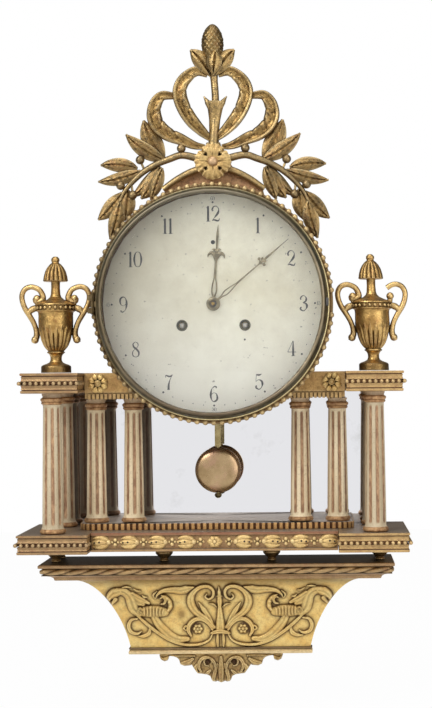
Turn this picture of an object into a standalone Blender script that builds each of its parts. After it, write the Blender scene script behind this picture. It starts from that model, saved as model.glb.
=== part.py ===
"""Giltwood column clock on its wall bracket.

Metres, +Z up. The wall is the plane Y = 0 and the front faces -Y.
"""

import math

import bmesh
import bpy
from mathutils import Matrix

# Fits
SEAT = 0.0003
TURN = 0.0004
RING_STEPS = 30

# Bracket on the wall
SHELF_TOP = 0.049
SHELF_HALF = 0.206
SHELF_DEPTH = 0.092
SHELF_EDGE = 0.0035
ROPE_HEIGHT = 0.0095
CORNICE_HEIGHT = 0.008
CORNICE_HALF = 0.191
CORNICE_DEPTH = 0.066
PANEL_HEIGHT = 0.086
PANEL_TOP_HALF = 0.1705
PANEL_FOOT_HALF = 0.1078
PANEL_TOP_DEPTH = 0.062
PANEL_FOOT_DEPTH = 0.022
RAIL_HEIGHT = 0.0075
RAIL_HALF = 0.110
RAIL_DEPTH = 0.027
PENDANT_HALF = 0.074
PENDANT_DROP = 0.0355
BACKBOARD = 0.010

# Feet and base
FOOT_HEIGHT = 0.0176
FOOT_RADIUS = 0.010
FOOT_INSET = 0.016
FOOT_INNER_X = 0.063
FOOT_FRONT_Y = -0.060
FOOT_REAR_Y = -0.024
BASE_HEIGHT = 0.0217
BLOCK_INNER = 0.141
BLOCK_OUTER = 0.2205
BLOCK_DEPTH = 0.142
BLOCK_BEAD = 0.004
SLAB_DEPTH = 0.117
SLAB_RECESS = 0.004
HUSK_PITCH = 0.031
HUSK_RADIUS = 0.0058
STEP_HEIGHT = 0.0074
STEP_HALF = 0.160
STEP_DEPTH = 0.085
STEP_ROUND = 0.018

# Columns and mirror
COLUMN_OUTER_X = 0.1833
COLUMN_FRONT_Y = -0.119
COLUMN_REAR_Y = -0.033
COLUMN_MID_X = 0.1413
COLUMN_INNER_X = 0.0977
COLUMN_INNER_Y = -0.062
COLUMN_CLEAR = 0.1593
SHAFT_FOOT_RADIUS = 0.012
SHAFT_HEAD_RADIUS = 0.011
COLUMN_BASE_RADIUS = 0.0145
CAPITAL_RADIUS = 0.01325
FLUTES = 8
FLUTE_DEPTH = 0.0014
MIRROR_HALF = 0.180
MIRROR_THICK = 0.003
MIRROR_BOARD = 0.009

# Entablature and urns
BEAM_HEIGHT = 0.0229
BEAM_DEPTH = 0.092
DENTIL_HEIGHT = 0.0076
HEAD_INNER = 0.1506
HEAD_OUTER = 0.2149
ROSETTE_X = 0.1346
ROSETTE_RADIUS = 0.011
ROSETTE_THICK = 0.005
URN_Y = -0.084
URN_HEIGHT = 0.135
HANDLE_REACH = 0.041

# Drum, dial and bezel
DRUM_RISE = 0.078
DRUM_RADIUS = 0.131
DRUM_WALL = 0.003
DRUM_FRONT = -0.112
DRUM_REAR = -0.014
DIAL_LEDGE = 0.010
BEAD_RING_LAP = 0.0035
BEAD_RING_REACH = 0.0085
BEAD_RING_THICK = 0.006
DIAL_MARGIN = 0.0045
DIAL_FRONT = -0.105
DIAL_THICK = 0.0015
DIAL_FOOT_RADIUS = 0.0028
BEZEL_REACH = 0.0015
BEZEL_WIDTH = 0.009
BEZEL_DEPTH = 0.0214
GLASS_LAP = 0.0022
GLASS_THICK = 0.002
GLASS_RISE = 0.010
HINGE_RADIUS = 0.0028
HINGE_PIN = 0.0011
HINGE_HALF = 0.011
HINGE_KNUCKLE_HALF = 0.0035
PENDULUM_SLOT_HALF = 0.021
PENDULUM_SLOT_DEEP = 0.010

# Movement: arbors are placed from the centre of the dial, X to the right and Z up
GOING_AT = (0.036, -0.0245)
STRIKE_AT = (-0.036, -0.0245)
SUSPENSION_RISE = 0.0545
ESCAPE_RISE = 0.0325
MOTION_DROP = 0.018
GREAT_TEETH = 48
CENTRE_LEAVES = 8
CENTRE_TEETH = 60
THIRD_LEAVES = 6
THIRD_TEETH = 72
ESCAPE_LEAVES = 6
ESCAPE_TEETH = 30
CANNON_TEETH = 10
MINUTE_TEETH = 30
MINUTE_LEAVES = 8
HOUR_TEETH = 32
CENTRE_MODULE = 0.0008
THIRD_MODULE = 0.00055
ESCAPE_RADIUS = 0.0145
PLATE_HALF = 0.077
PLATE_TOP = 0.067
PLATE_FOOT = -0.066
PLATE_THICK = 0.002
FRONT_PLATE = -0.0955
BACK_PLATE = -0.0595
PILLAR_RADIUS = 0.0035
BARREL_RADIUS = 0.026
ARBOR_RADIUS = 0.003
WINDING_HOLE = 0.0054
SQUARE_HALF = 0.0023
CENTRE_ARBOR = 0.0021
CANNON_PIPE = 0.0034
HOUR_PIPE = 0.0054
MOTION_STUD = 0.0015
SUSPENSION_PIN = 0.0012
CRUTCH_LENGTH = 0.042
FORK_WALL = 0.0014
HOUR_ANGLE = 4.0
HOUR_LENGTH = 0.090
MINUTE_ANGLE = 49.7
MINUTE_LENGTH = 0.113
HAND_THICK = 0.0009

# Pendulum
PENDULUM_Y = -0.047
PENDULUM_LENGTH = 0.248
ROD_HALF = 0.0035
ROD_THICK = 0.0015
BOB_RADIUS = 0.027
BOB_HALF = 0.0065
NUT_RADIUS = 0.0042
NUT_HEIGHT = 0.005

# Crest: carved in the plane behind the bead ring
CREST_FRONT = -0.092
CREST_REAR = -0.080
CREST_HUB = 0.0195
CREST_REACH = 0.1939
FLOWER_REACH = 0.0331
FLOWER_RADIUS = 0.021
FLOWER_THICK = 0.010

# Shapes, to the right of the middle: carved ones in millimetres, the crest's heights from the
# bracket's origin, the foot's and the moulding's as shares of their sizes
SCROLL = ((25, 34), (33, 38), (24, 41), (16, 32), (22, 20), (40, 13), (62, 14), (80, 26), (92, 60))
SCROLL_WIDTHS = (3, 3, 3, 3.4, 3.6, 4, 4.6, 5.4, 3.5)
LYRE = ((4, 12), (12, 24), (22, 44), (21, 60), (12, 66))
LYRE_WIDTHS = (2.5, 3, 3.2, 3, 2.8)
WING = ((86, 34), (98, 30), (108, 40), (126, 66), (140, 72))
WING_WIDTHS = (4, 6, 7, 5, 3)
FOOT = ((0, 1), (0.78, 1), (0.78, 0.84), (0.48, 0.72), (1, 0.42), (0.85, 0.18), (0.5, 0), (0, 0))
MOULDING = (
    (0, 0), (0.18, 0), (0.25, -0.003), (0.36, 0.6), (0.5, 1),
    (0.64, 0.6), (0.75, -0.003), (0.82, 0), (1, 0),
)
URN = (
    (0, 135), (4.7, 130.5), (3.4, 126), (11, 121), (13.7, 111), (12, 104), (5.3, 100),
    (7, 95), (21.8, 86), (21.8, 82),
    (19.7, 80), (19.7, 66), (13, 44), (6.5, 31), (8.5, 28), (6.3, 23), (17.3, 7), (17.3, 0), (0, 0),
)
HANDLE = (
    (10, 92), (17, 100), (24, 108), (33, 109), (38.2, 100),
    (37, 89), (31, 76), (24, 62), (19, 52), (14, 50),
)
HANDLE_WIDTHS = (2.4, 2.6, 2.6, 2.8, 2.8, 2.6, 2.4, 2.4, 2.4, 2.2)
HOUR_HAND = (
    (1.9, 5), (1.5, 26), (1.1, 42), (1.6, 47), (4.6, 50), (6.2, 54),
    (4.4, 57), (2.0, 59), (3.4, 63), (1.7, 67), (1.0, 74),
)
MINUTE_HAND = (
    (1.8, 5), (1.4, 30), (0.9, 62), (1.2, 67), (3.4, 70),
    (3.6, 74), (1.4, 77), (0.9, 84), (0.7, 100),
)
HEART = ((5, 534), (14, 545), (25, 558), (34, 574), (38.4, 592), (35, 606), (26, 615.5), (15, 617), (4, 612))
HEART_WIDTHS = (4.5, 4.5, 6, 7.5, 8.1, 7, 5.5, 4.6, 4.4)
SIDE = (
    (8, 528), (22, 535), (38, 541), (53, 548), (64, 559),
    (68.4, 573.4), (66, 585), (58, 592), (49, 593), (42, 590),
)
SIDE_WIDTHS = (4.5, 5, 6, 7, 8, 8.6, 7, 5, 4, 4)
CONE = ((0, 673.4), (4, 668), (9, 659), (12.3, 648), (12.8, 640), (10, 628), (6, 618), (0, 612))
BRANCH = (
    (20.6, 519.6), (37, 523.7), (51, 519.7), (66, 514.5),
    (81, 506.4), (94, 494.8), (103.5, 484.4), (108.6, 472.8),
)
BRANCH_WIDTHS = (3.4, 3.6, 4, 3.8, 3.4, 3, 2.6, 2)
LAUREL = (
    ((56, 517.5), (86, 561), 1.6),
    ((60, 517), (101.1, 546.3), -1.3),
    ((84, 507), (130.6, 506.4), 1.1),
    ((85.5, 505), (133.5, 492.2), -1.8),
    ((104, 484), (134.4, 447.4), 1.4),
    ((108, 476), (119.6, 424.3), -1.2),
    ((100, 487), (104, 448), -2.1),
    ((62, 515), (84.7, 472.3), 1.7),
)
BERRIES = ((37, 530.2, 36.4, 522.6), (82.4, 516, 80.6, 505.8), (111, 488.6, 102.4, 484.9))

# Heights and planes that follow from the sizes above
shelf_under = SHELF_TOP - SHELF_EDGE - ROPE_HEIGHT - CORNICE_HEIGHT
panel_top = shelf_under - SEAT
panel_foot = panel_top - PANEL_HEIGHT
rail_foot = panel_foot - SEAT - RAIL_HEIGHT
base_foot = SHELF_TOP + FOOT_HEIGHT
base_top = base_foot + BASE_HEIGHT
step_top = base_top + STEP_HEIGHT
beam_foot = base_top + COLUMN_CLEAR
beam_top = beam_foot + BEAM_HEIGHT
dentil_foot = beam_foot - DENTIL_HEIGHT
mirror_front = -MIRROR_BOARD - SEAT - MIRROR_THICK
dial_z = beam_top + DRUM_RISE
foot_outer_x = SHELF_HALF - FOOT_INSET
ledge_radius = DRUM_RADIUS - DIAL_LEDGE
bead_inner = DRUM_RADIUS - BEAD_RING_LAP
bead_outer = DRUM_RADIUS + BEAD_RING_REACH
dial_radius = DRUM_RADIUS - DIAL_MARGIN
bezel_outer = DRUM_RADIUS + BEZEL_REACH
bezel_opening = bezel_outer - BEZEL_WIDTH
glass_radius = bezel_opening + GLASS_LAP
bead_front = DRUM_FRONT - SEAT - BEAD_RING_THICK
bezel_rear = bead_front - SEAT
bezel_front = bezel_rear - BEZEL_DEPTH
hinge_x = -(bezel_outer + HINGE_RADIUS + 3 * SEAT)
hinge_y = bezel_rear - HINGE_RADIUS - 2 * TURN
plates_front = FRONT_PLATE + PLATE_THICK + SEAT
plates_rear = BACK_PLATE - SEAT
suspension_z = dial_z + SUSPENSION_RISE
bob_z = suspension_z - PENDULUM_LENGTH
flower_z = dial_z + DRUM_RADIUS + FLOWER_REACH
crest_scale = (DRUM_RADIUS + CREST_REACH) / 324.9

TURNED = Matrix(((1, 0, 0), (0, 0, 1), (0, -1, 0))).to_4x4()
UPRIGHT = Matrix(((1, 0, 0), (0, 0, -1), (0, 1, 0))).to_4x4()

for old in list(bpy.data.objects):
    bpy.data.objects.remove(old, do_unlink=True)
parts = bpy.data.collections.new("cartel_clock")
helpers = bpy.data.collections.new("helpers")
helpers.hide_render = True
bpy.context.scene.collection.children.link(parts)
bpy.context.scene.collection.children.link(helpers)


def material(name, colour, roughness, metallic):
    made = bpy.data.materials.new(name)
    made.use_nodes = True
    shader = made.node_tree.nodes["Principled BSDF"]
    shader.inputs["Base Color"].default_value = (*colour, 1.0)
    shader.inputs["Roughness"].default_value = roughness
    shader.inputs["Metallic"].default_value = metallic
    return made


GILT = material("gilt_wood", (0.56, 0.37, 0.12), 0.38, 0.8)
CREAM = material("cream_paint", (0.62, 0.55, 0.40), 0.6, 0.0)
WOOD = material("brown_wood", (0.16, 0.09, 0.05), 0.6, 0.0)
BRASS = material("brass", (0.60, 0.45, 0.20), 0.3, 1.0)
STEEL = material("steel", (0.35, 0.35, 0.37), 0.3, 1.0)
SILVER = material("silvered_dial", (0.62, 0.60, 0.53), 0.5, 0.3)
GLASS = material("glass", (0.85, 0.88, 0.88), 0.05, 0.0)
MIRROR = material("mirror", (0.80, 0.81, 0.83), 0.03, 1.0)


def tidy(mesh):
    """Welds coincident points and turns every face outwards."""
    work = bmesh.new()
    work.from_mesh(mesh)
    bmesh.ops.remove_doubles(work, verts=work.verts, dist=1e-6)
    bmesh.ops.recalc_face_normals(work, faces=work.faces)
    work.to_mesh(mesh)
    work.free()
    return mesh


def evaluated(obj):
    """The mesh that an object's modifiers give, with the object removed."""
    helpers.objects.link(obj)
    graph = bpy.context.evaluated_depsgraph_get()
    mesh = bpy.data.meshes.new_from_object(obj.evaluated_get(graph))
    bpy.data.objects.remove(obj, do_unlink=True)
    return tidy(mesh)


def moved(mesh, x=0.0, y=0.0, z=0.0):
    mesh.transform(Matrix.Translation((x, y, z)))
    return mesh


def turned_in_plane(mesh, degrees, x, z):
    """Turns a mesh clockwise, as the viewer sees it, about an axis along Y."""
    swing = Matrix.Rotation(math.radians(degrees), 4, "Y")
    mesh.transform(Matrix.Translation((x, 0, z)) @ swing @ Matrix.Translation((-x, 0, -z)))
    return mesh


def mirrored(mesh):
    copy = mesh.copy()
    copy.transform(Matrix.Scale(-1, 4, (1, 0, 0)))
    return tidy(copy)


def box(x0, x1, y0, y1, z0, z1):
    work = bmesh.new()
    bmesh.ops.create_cube(work, size=1.0)
    size = Matrix.Diagonal((x1 - x0, y1 - y0, z1 - z0, 1.0))
    centre = Matrix.Translation(((x0 + x1) / 2, (y0 + y1) / 2, (z0 + z1) / 2))
    bmesh.ops.transform(work, matrix=centre @ size, verts=work.verts)
    mesh = bpy.data.meshes.new("box")
    work.to_mesh(mesh)
    work.free()
    return mesh


def lofted(rings):
    """A closed body through rings that have the same number of points."""
    count = len(rings[0])
    points = [point for ring in rings for point in ring]
    faces = [tuple(range(count)), tuple(range(len(points) - count, len(points)))]
    for row in range(len(rings) - 1):
        for i in range(count):
            j = (i + 1) % count
            low, high = row * count, (row + 1) * count
            faces.append((low + i, low + j, high + j, high + i))
    mesh = bpy.data.meshes.new("loft")
    mesh.from_pydata(points, [], faces)
    return tidy(mesh)


def stack(levels):
    """A moulded slab: rectangles (z, left, right, front, rear) joined upwards."""
    rings = []
    for z, left, right, front, rear in levels:
        rings.append([(left, front, z), (right, front, z), (right, rear, z), (left, rear, z)])
    return lofted(rings)


def lathe(profile, steps, along_y=False):
    """Turns a profile of (radius, height) about Z, or about Y when asked."""
    mesh = bpy.data.meshes.new("profile")
    count = len(profile)
    edges = [(i, i + 1) for i in range(count - 1)]
    if profile[0][0] > 0 and profile[-1][0] > 0:
        edges.append((count - 1, 0))
    mesh.from_pydata([(radius, 0, height) for radius, height in profile], edges, [])
    obj = bpy.data.objects.new("lathe", mesh)
    screw = obj.modifiers.new("Turn", "SCREW")
    screw.steps = steps
    screw.render_steps = steps
    screw.use_merge_vertices = True
    screw.merge_threshold = 0.00001
    made = evaluated(obj)
    if along_y:
        made.transform(TURNED)
    return made


def rod(x, z, radius, y0, y1, steps=12):
    """A round bar along Y."""
    return moved(lathe([(0, y1), (radius, y1), (radius, y0), (0, y0)], steps, True), x, 0, z)


def post(x, y, radius, z0, z1, steps=8):
    """A round bar along Z."""
    return moved(lathe([(0, z1), (radius, z1), (radius, z0), (0, z0)], steps), x, y, 0)


def plate(outlines, y_front, y_rear):
    """A flat plate in the XZ plane: the first outline is its edge and the rest are holes."""
    curve = bpy.data.curves.new("outline", "CURVE")
    curve.dimensions = "2D"
    curve.fill_mode = "BOTH"
    curve.extrude = (y_rear - y_front) / 2
    for outline in outlines:
        spline = curve.splines.new("POLY")
        spline.points.add(len(outline) - 1)
        for point, (x, z) in zip(spline.points, outline):
            point.co = (x, z, 0, 1)
        spline.use_cyclic_u = True
    mesh = evaluated(bpy.data.objects.new("plate", curve))
    mesh.transform(UPRIGHT)
    return moved(mesh, 0, (y_front + y_rear) / 2)


def tube(points, radii, flatten=1.0, sides=1):
    """A carved strand: a bevelled path in the XZ plane, thinner along Y when flattened."""
    curve = bpy.data.curves.new("strand", "CURVE")
    curve.dimensions = "3D"
    curve.bevel_depth = 1.0
    curve.bevel_resolution = sides
    curve.use_fill_caps = True
    spline = curve.splines.new("POLY")
    spline.points.add(len(points) - 1)
    for point, place, radius in zip(spline.points, points, radii):
        point.co = (*place, 1)
        point.radius = radius
    mesh = evaluated(bpy.data.objects.new("tube", curve))
    middle = points[0][1]
    mesh.transform(Matrix.Translation((0, middle, 0)) @ Matrix.Scale(flatten, 4, (0, 1, 0))
                   @ Matrix.Translation((0, -middle, 0)))
    return mesh


def ball(x, y, z, radius, deep=1.0):
    work = bmesh.new()
    bmesh.ops.create_uvsphere(work, u_segments=7, v_segments=4, radius=radius)
    mesh = bpy.data.meshes.new("ball")
    work.to_mesh(mesh)
    work.free()
    mesh.transform(Matrix.Scale(deep, 4, (0, 1, 0)))
    return moved(mesh, x, y, z)


def leaf(base, tip, half, y, thick):
    """A pointed leaf with a raised midrib, lying in the XZ plane."""
    run = (tip[0] - base[0], tip[1] - base[1])
    length = math.hypot(*run)
    along = (run[0] / length, run[1] / length)
    rings = []
    for share, width, deep in ((0.0, 0.25, 0.6), (0.35, 0.95, 0.9), (0.7, 0.85, 0.9), (1.0, 0.04, 0.2)):
        x = base[0] + run[0] * share
        z = base[1] + run[1] * share
        out_x = along[1] * half * width
        out_z = -along[0] * half * width
        rise = thick * deep / 2
        low, high = (x - out_x, y, z - out_z), (x + out_x, y, z + out_z)
        rings.append([low, (x, y - rise, z), high, (x, y + rise, z)])
    return lofted(rings)


def combine(first, joins=(), cuts=()):
    """Joins meshes into the first one, then cuts others from it."""
    obj = bpy.data.objects.new("solid", first)
    others = []
    for operation, meshes in (("UNION", joins), ("DIFFERENCE", cuts)):
        for mesh in meshes:
            other = bpy.data.objects.new("other", mesh)
            helpers.objects.link(other)
            others.append(other)
            step = obj.modifiers.new("Boolean", "BOOLEAN")
            step.operation = operation
            step.solver = "EXACT"
            step.object = other
    made = evaluated(obj)
    for other in others:
        bpy.data.objects.remove(other, do_unlink=True)
    return made


def part(name, mesh, finish, pivot=(0.0, 0.0, 0.0)):
    """Makes a mesh a named part, with its origin on its axis where it turns."""
    mesh.name = name
    mesh.transform(Matrix.Translation([-value for value in pivot]))
    obj = bpy.data.objects.new(name, mesh)
    obj.location = pivot
    mesh.materials.clear()
    mesh.materials.append(finish)
    parts.objects.link(obj)


def circle(radius, count, x=0.0, z=0.0, start=0.0):
    turns = [start + 2 * math.pi * i / count for i in range(count)]
    return [(x + radius * math.cos(turn), z + radius * math.sin(turn)) for turn in turns]


# Bracket
rope_foot = SHELF_TOP - SHELF_EDGE - ROPE_HEIGHT
levels = [(shelf_under, CORNICE_HALF, CORNICE_DEPTH), (shelf_under + 0.002, CORNICE_HALF, CORNICE_DEPTH)]
levels.append((rope_foot - 0.001, SHELF_HALF - 0.008, SHELF_DEPTH - 0.012))
levels.append((rope_foot, SHELF_HALF - 0.006, SHELF_DEPTH - 0.008))
for share, out in ((0.15, 0.0035), (0.5, 0.002), (0.85, 0.0035)):
    levels.append((rope_foot + ROPE_HEIGHT * share, SHELF_HALF - out, SHELF_DEPTH - out - 0.002))
levels.append((SHELF_TOP - SHELF_EDGE, SHELF_HALF - 0.005, SHELF_DEPTH - 0.006))
levels.append((SHELF_TOP - SHELF_EDGE + 0.0005, SHELF_HALF, SHELF_DEPTH))
levels.append((SHELF_TOP, SHELF_HALF, SHELF_DEPTH))
part("bracket_shelf", stack([(z, -half, half, -deep, 0.0) for z, half, deep in levels]), WOOD)


def panel_share(z):
    """How far the hollow sides have drawn in at a height: 0 at the foot and 1 at the top."""
    rise = (z - panel_foot) / PANEL_HEIGHT
    return 1 - math.sqrt(max(0.0, 1 - rise * rise)) * (1 - 0.25 * rise)


def panel_half(z):
    return PANEL_FOOT_HALF + (PANEL_TOP_HALF - PANEL_FOOT_HALF) * panel_share(z)


def panel_front(z):
    return -PANEL_FOOT_DEPTH - (PANEL_TOP_DEPTH - PANEL_FOOT_DEPTH) * panel_share(z)


def relief(points, radii):
    """A carved strand that lies on the hollow front of the bracket."""
    radii = [radius * 0.001 for radius in radii]
    placed = []
    for x, rise in points:
        z = panel_foot + rise * 0.001
        placed.append((x * 0.001, panel_front(z), z))
    return tube(placed, radii, 1.0, 0)


panel_levels = []
sides = []
for i in range(9):
    z = panel_foot + PANEL_HEIGHT * i / 8
    half = panel_half(z)
    panel_levels.append((z, -half, half, panel_front(z), -BACKBOARD - SEAT))
    sides.append((half, z))
carving = []
for points, radii in ((SCROLL, SCROLL_WIDTHS), (LYRE, LYRE_WIDTHS), (WING, WING_WIDTHS)):
    carving.append(relief(points, radii))
    carving.append(relief([(-x, rise) for x, rise in points], radii))
carving.append(relief([(0, 6), (0, 30), (0, 56), (0, 70)], (4, 4.5, 5, 3)))
part("bracket_panel", combine(stack(panel_levels), carving), GILT)
back = [(-PANEL_FOOT_HALF, rail_foot), (PANEL_FOOT_HALF, rail_foot)] + sides
back += [(-half, z) for half, z in reversed(sides)]
part("bracket_backboard", plate([back], -BACKBOARD, 0.0), WOOD)
levels = [(rail_foot, RAIL_HALF - 0.003, RAIL_DEPTH - 0.003), (rail_foot + 0.003, RAIL_HALF, RAIL_DEPTH)]
levels.append((panel_foot - SEAT - 0.0015, RAIL_HALF, RAIL_DEPTH))
levels.append((panel_foot - SEAT, RAIL_HALF - 0.002, RAIL_DEPTH - 0.002))
part("bracket_rail", stack([(z, -half, half, -deep, -BACKBOARD - SEAT) for z, half, deep in levels]), GILT)
lobes = ((0.0, 1.0), (0.36, 0.82), (0.72, 0.5))
pendant_top = rail_foot - SEAT
leaves = []
for across, drop in lobes:
    for side in ((1,) if across == 0 else (1, -1)):
        x = side * PENDANT_HALF * across
        tip = (x, pendant_top - PENDANT_DROP * drop)
        leaves.append(leaf((x * 0.7, pendant_top - 0.0065), tip, 0.013, -0.016, 0.014))
crown = box(-PENDANT_HALF, PENDANT_HALF, -0.022, -0.010, pendant_top - 0.007, pendant_top)
part("bracket_pendant", combine(crown, leaves), GILT)

# Feet
foot_tall = FOOT_HEIGHT - 2 * SEAT
foot_profile = [(radius * FOOT_RADIUS, SEAT + height * foot_tall) for radius, height in FOOT]
feet = (
    ("foot_left_front", -foot_outer_x, FOOT_FRONT_Y),
    ("foot_left_inner", -FOOT_INNER_X, FOOT_FRONT_Y),
    ("foot_right_inner", FOOT_INNER_X, FOOT_FRONT_Y),
    ("foot_right_front", foot_outer_x, FOOT_FRONT_Y),
    ("foot_left_rear", -foot_outer_x, FOOT_REAR_Y),
    ("foot_right_rear", foot_outer_x, FOOT_REAR_Y),
)
for name, x, y in feet:
    part(name, moved(lathe(foot_profile, 8), x, y, SHELF_TOP), GILT)

# Base


def beaded_block(inner, outer, foot, height):
    """A right-hand corner block with a bead along its front and outer side."""
    rows = []
    for share, out in MOULDING:
        out = out * BLOCK_BEAD if out > 0 else out
        rows.append((foot + height * share, inner, outer + out, -BLOCK_DEPTH - out, 0.0))
    return stack(rows)


right_block = beaded_block(BLOCK_INNER, BLOCK_OUTER, base_foot, BASE_HEIGHT)
part("base_block_left", mirrored(right_block), GILT)
part("base_block_right", right_block, GILT)
slab_half = BLOCK_INNER - SEAT
rows = []
for share, recess in ((0, 0), (0.2, 0), (0.22, SLAB_RECESS), (0.78, SLAB_RECESS), (0.8, 0), (1, 0)):
    rows.append((base_foot + BASE_HEIGHT * share, -slab_half, slab_half, -SLAB_DEPTH + recess, 0.0))
chain = []
widths = []
for i in range(-4, 5):
    for shift, width in ((-0.42, 0.35), (-0.2, 1.0), (0.12, 0.8), (0.36, 0.45)):
        chain.append(((i + shift) * HUSK_PITCH, -SLAB_DEPTH + SLAB_RECESS, base_foot + BASE_HEIGHT / 2))
        widths.append(width * HUSK_RADIUS)
garland = tube(chain, widths, 0.9, 0)
part("base_slab", combine(stack(rows), [garland]), GILT)


def rounded_board(half, depth, corner):
    """A plan with rounded front corners, as (x, y) from the left rear."""
    plan = [(-half, mirror_front - SEAT)]
    for i in range(6):
        turn = math.pi + math.pi / 2 * i / 5
        plan.append((-half + corner + corner * math.cos(turn), -depth + corner + corner * math.sin(turn)))
    return plan + [(-x, y) for x, y in reversed(plan)]


plan = rounded_board(STEP_HALF, STEP_DEPTH, STEP_ROUND)
part("plinth_step", lofted([[(x, y, z) for x, y in plan] for z in (base_top + SEAT, step_top)]), WOOD)


# Columns
def column(foot, head):
    """A turned column: moulded base, fluted tapering shaft and ringed capital."""
    levels = [(foot, COLUMN_BASE_RADIUS, 0), (foot + 0.005, COLUMN_BASE_RADIUS, 0)]
    levels.append((foot + 0.012, SHAFT_FOOT_RADIUS, FLUTE_DEPTH))
    levels.append((head - 0.015, SHAFT_HEAD_RADIUS, FLUTE_DEPTH))
    levels += [(head - 0.0115, SHAFT_HEAD_RADIUS + 0.002, 0), (head - 0.008, SHAFT_HEAD_RADIUS + 0.0005, 0)]
    levels += [(head - 0.003, CAPITAL_RADIUS, 0), (head, CAPITAL_RADIUS, 0)]
    rings = []
    for z, radius, hollow in levels:
        ring = []
        for i in range(2 * FLUTES):
            angle = math.pi * i / FLUTES
            reach = radius - hollow * (i % 2)
            ring.append((reach * math.cos(angle), reach * math.sin(angle), z))
        rings.append(ring)
    return lofted(rings)


outer = column(base_top + SEAT, beam_foot - SEAT)
inner = column(step_top + SEAT, dentil_foot - SEAT)
for name, model, x, y in (
    ("front", outer, COLUMN_OUTER_X, COLUMN_FRONT_Y),
    ("rear", outer, COLUMN_OUTER_X, COLUMN_REAR_Y),
    ("middle", inner, COLUMN_MID_X, COLUMN_INNER_Y),
    ("inner", inner, COLUMN_INNER_X, COLUMN_INNER_Y),
):
    part("column_left_" + name, moved(model.copy(), -x, y), CREAM)
    part("column_right_" + name, moved(model.copy(), x, y), CREAM)

# Mirror
mirror_foot = base_top + SEAT
mirror_head = beam_foot - SEAT
mirror_rear = mirror_front + MIRROR_THICK
pane = box(-MIRROR_HALF, MIRROR_HALF, mirror_front, mirror_rear, mirror_foot, mirror_head)
part("mirror_glass", pane, MIRROR)
board = box(-MIRROR_HALF, MIRROR_HALF, -MIRROR_BOARD, 0.0, mirror_foot, mirror_head)
part("mirror_backboard", board, WOOD)

# Entablature: the drum sinks into the beam, which stays whole behind it
head_block = beaded_block(HEAD_INNER, HEAD_OUTER, beam_foot, BEAM_HEIGHT)
part("entablature_block_left", mirrored(head_block), GILT)
part("entablature_block_right", head_block, GILT)
beam_half = HEAD_INNER - SEAT
dentil_plan = rounded_board(beam_half, STEP_DEPTH + 0.004, STEP_ROUND)
dentil = lofted([[(x, y, z) for x, y in dentil_plan] for z in (dentil_foot, beam_foot + 0.002)])
beam = box(-beam_half, beam_half, -BEAM_DEPTH, 0.0, beam_foot, beam_top)
drum_room = rod(0.0, dial_z, DRUM_RADIUS + SEAT, DRUM_FRONT - 0.01, DRUM_REAR + SEAT, RING_STEPS)
part("entablature_beam", combine(beam, [dentil], [drum_room]), GILT)
rosette_rear = -BEAM_DEPTH - SEAT
rosette_front = rosette_rear - ROSETTE_THICK
for name, side in (("rosette_left", -1), ("rosette_right", 1)):
    x = side * ROSETTE_X
    z = beam_foot + BEAM_HEIGHT / 2
    edge = []
    for i in range(24):
        angle = i * math.pi / 12
        radius = ROSETTE_RADIUS * (0.86 + 0.14 * math.cos(8 * angle))
        edge.append((x + radius * math.cos(angle), z + radius * math.sin(angle)))
    petals = plate([edge], rosette_rear - ROSETTE_THICK * 0.6, rosette_rear)
    boss = rod(x, z, ROSETTE_RADIUS * 0.32, rosette_front, rosette_rear - SEAT, 10)
    part(name, combine(petals, [boss]), GILT)

# Urns


def urn(x):
    scale = URN_HEIGHT / 135
    body = lathe([(radius * scale, height * scale) for radius, height in URN], 10)
    handles = []
    for side in (-1, 1):
        path = [(side * across * HANDLE_REACH / 41, 0.0, height * scale) for across, height in HANDLE]
        handles.append(tube(path, [width * scale for width in HANDLE_WIDTHS], 1.0, 0))
    return moved(combine(body, handles), x, URN_Y, beam_top + SEAT)


part("urn_left", urn(-COLUMN_OUTER_X), GILT)
part("urn_right", urn(COLUMN_OUTER_X), GILT)

# Drum, bead ring and dial
dial_rear = DIAL_FRONT + DIAL_THICK
inner_radius = DRUM_RADIUS - DRUM_WALL
drum_profile = [(DRUM_RADIUS, DRUM_REAR), (DRUM_RADIUS, DRUM_FRONT), (inner_radius, DRUM_FRONT)]
ledge_front = dial_rear + SEAT
ledge_rear = dial_rear + 0.004
drum_profile += [(inner_radius, ledge_front), (ledge_radius, ledge_front), (ledge_radius, ledge_rear)]
drum_profile += [(inner_radius, ledge_rear), (inner_radius, DRUM_REAR)]
slot_front, slot_rear = PENDULUM_Y - PENDULUM_SLOT_DEEP, PENDULUM_Y + PENDULUM_SLOT_DEEP
slot_foot, slot_head = dial_z - 2 * DRUM_RADIUS, dial_z - 0.7 * DRUM_RADIUS
slot = box(-PENDULUM_SLOT_HALF, PENDULUM_SLOT_HALF, slot_front, slot_rear, slot_foot, slot_head)
drum = moved(lathe(drum_profile, RING_STEPS, True), 0, 0, dial_z)
part("drum_shell", combine(drum, (), [slot]), WOOD)
bead_rear = DRUM_FRONT - SEAT
bead_profile = [(bead_outer - 0.003, bead_rear), (bead_outer, bead_rear - 0.0015)]
bead_profile += [(bead_outer, bead_front + 0.0015), (bead_outer - 0.003, bead_front)]
bead_profile += [(bead_inner, bead_front), (bead_inner, bead_rear)]
part("bead_ring", moved(lathe(bead_profile, RING_STEPS, True), 0, 0, dial_z), GILT)
holes = [circle(HOUR_PIPE + 2 * TURN, 12, 0, dial_z)]
for x, z in (GOING_AT, STRIKE_AT):
    holes.append(circle(WINDING_HOLE, 12, x, dial_z + z))
dial = plate([circle(dial_radius, RING_STEPS, 0, dial_z)] + holes, DIAL_FRONT, dial_rear)
dial_feet = []
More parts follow.
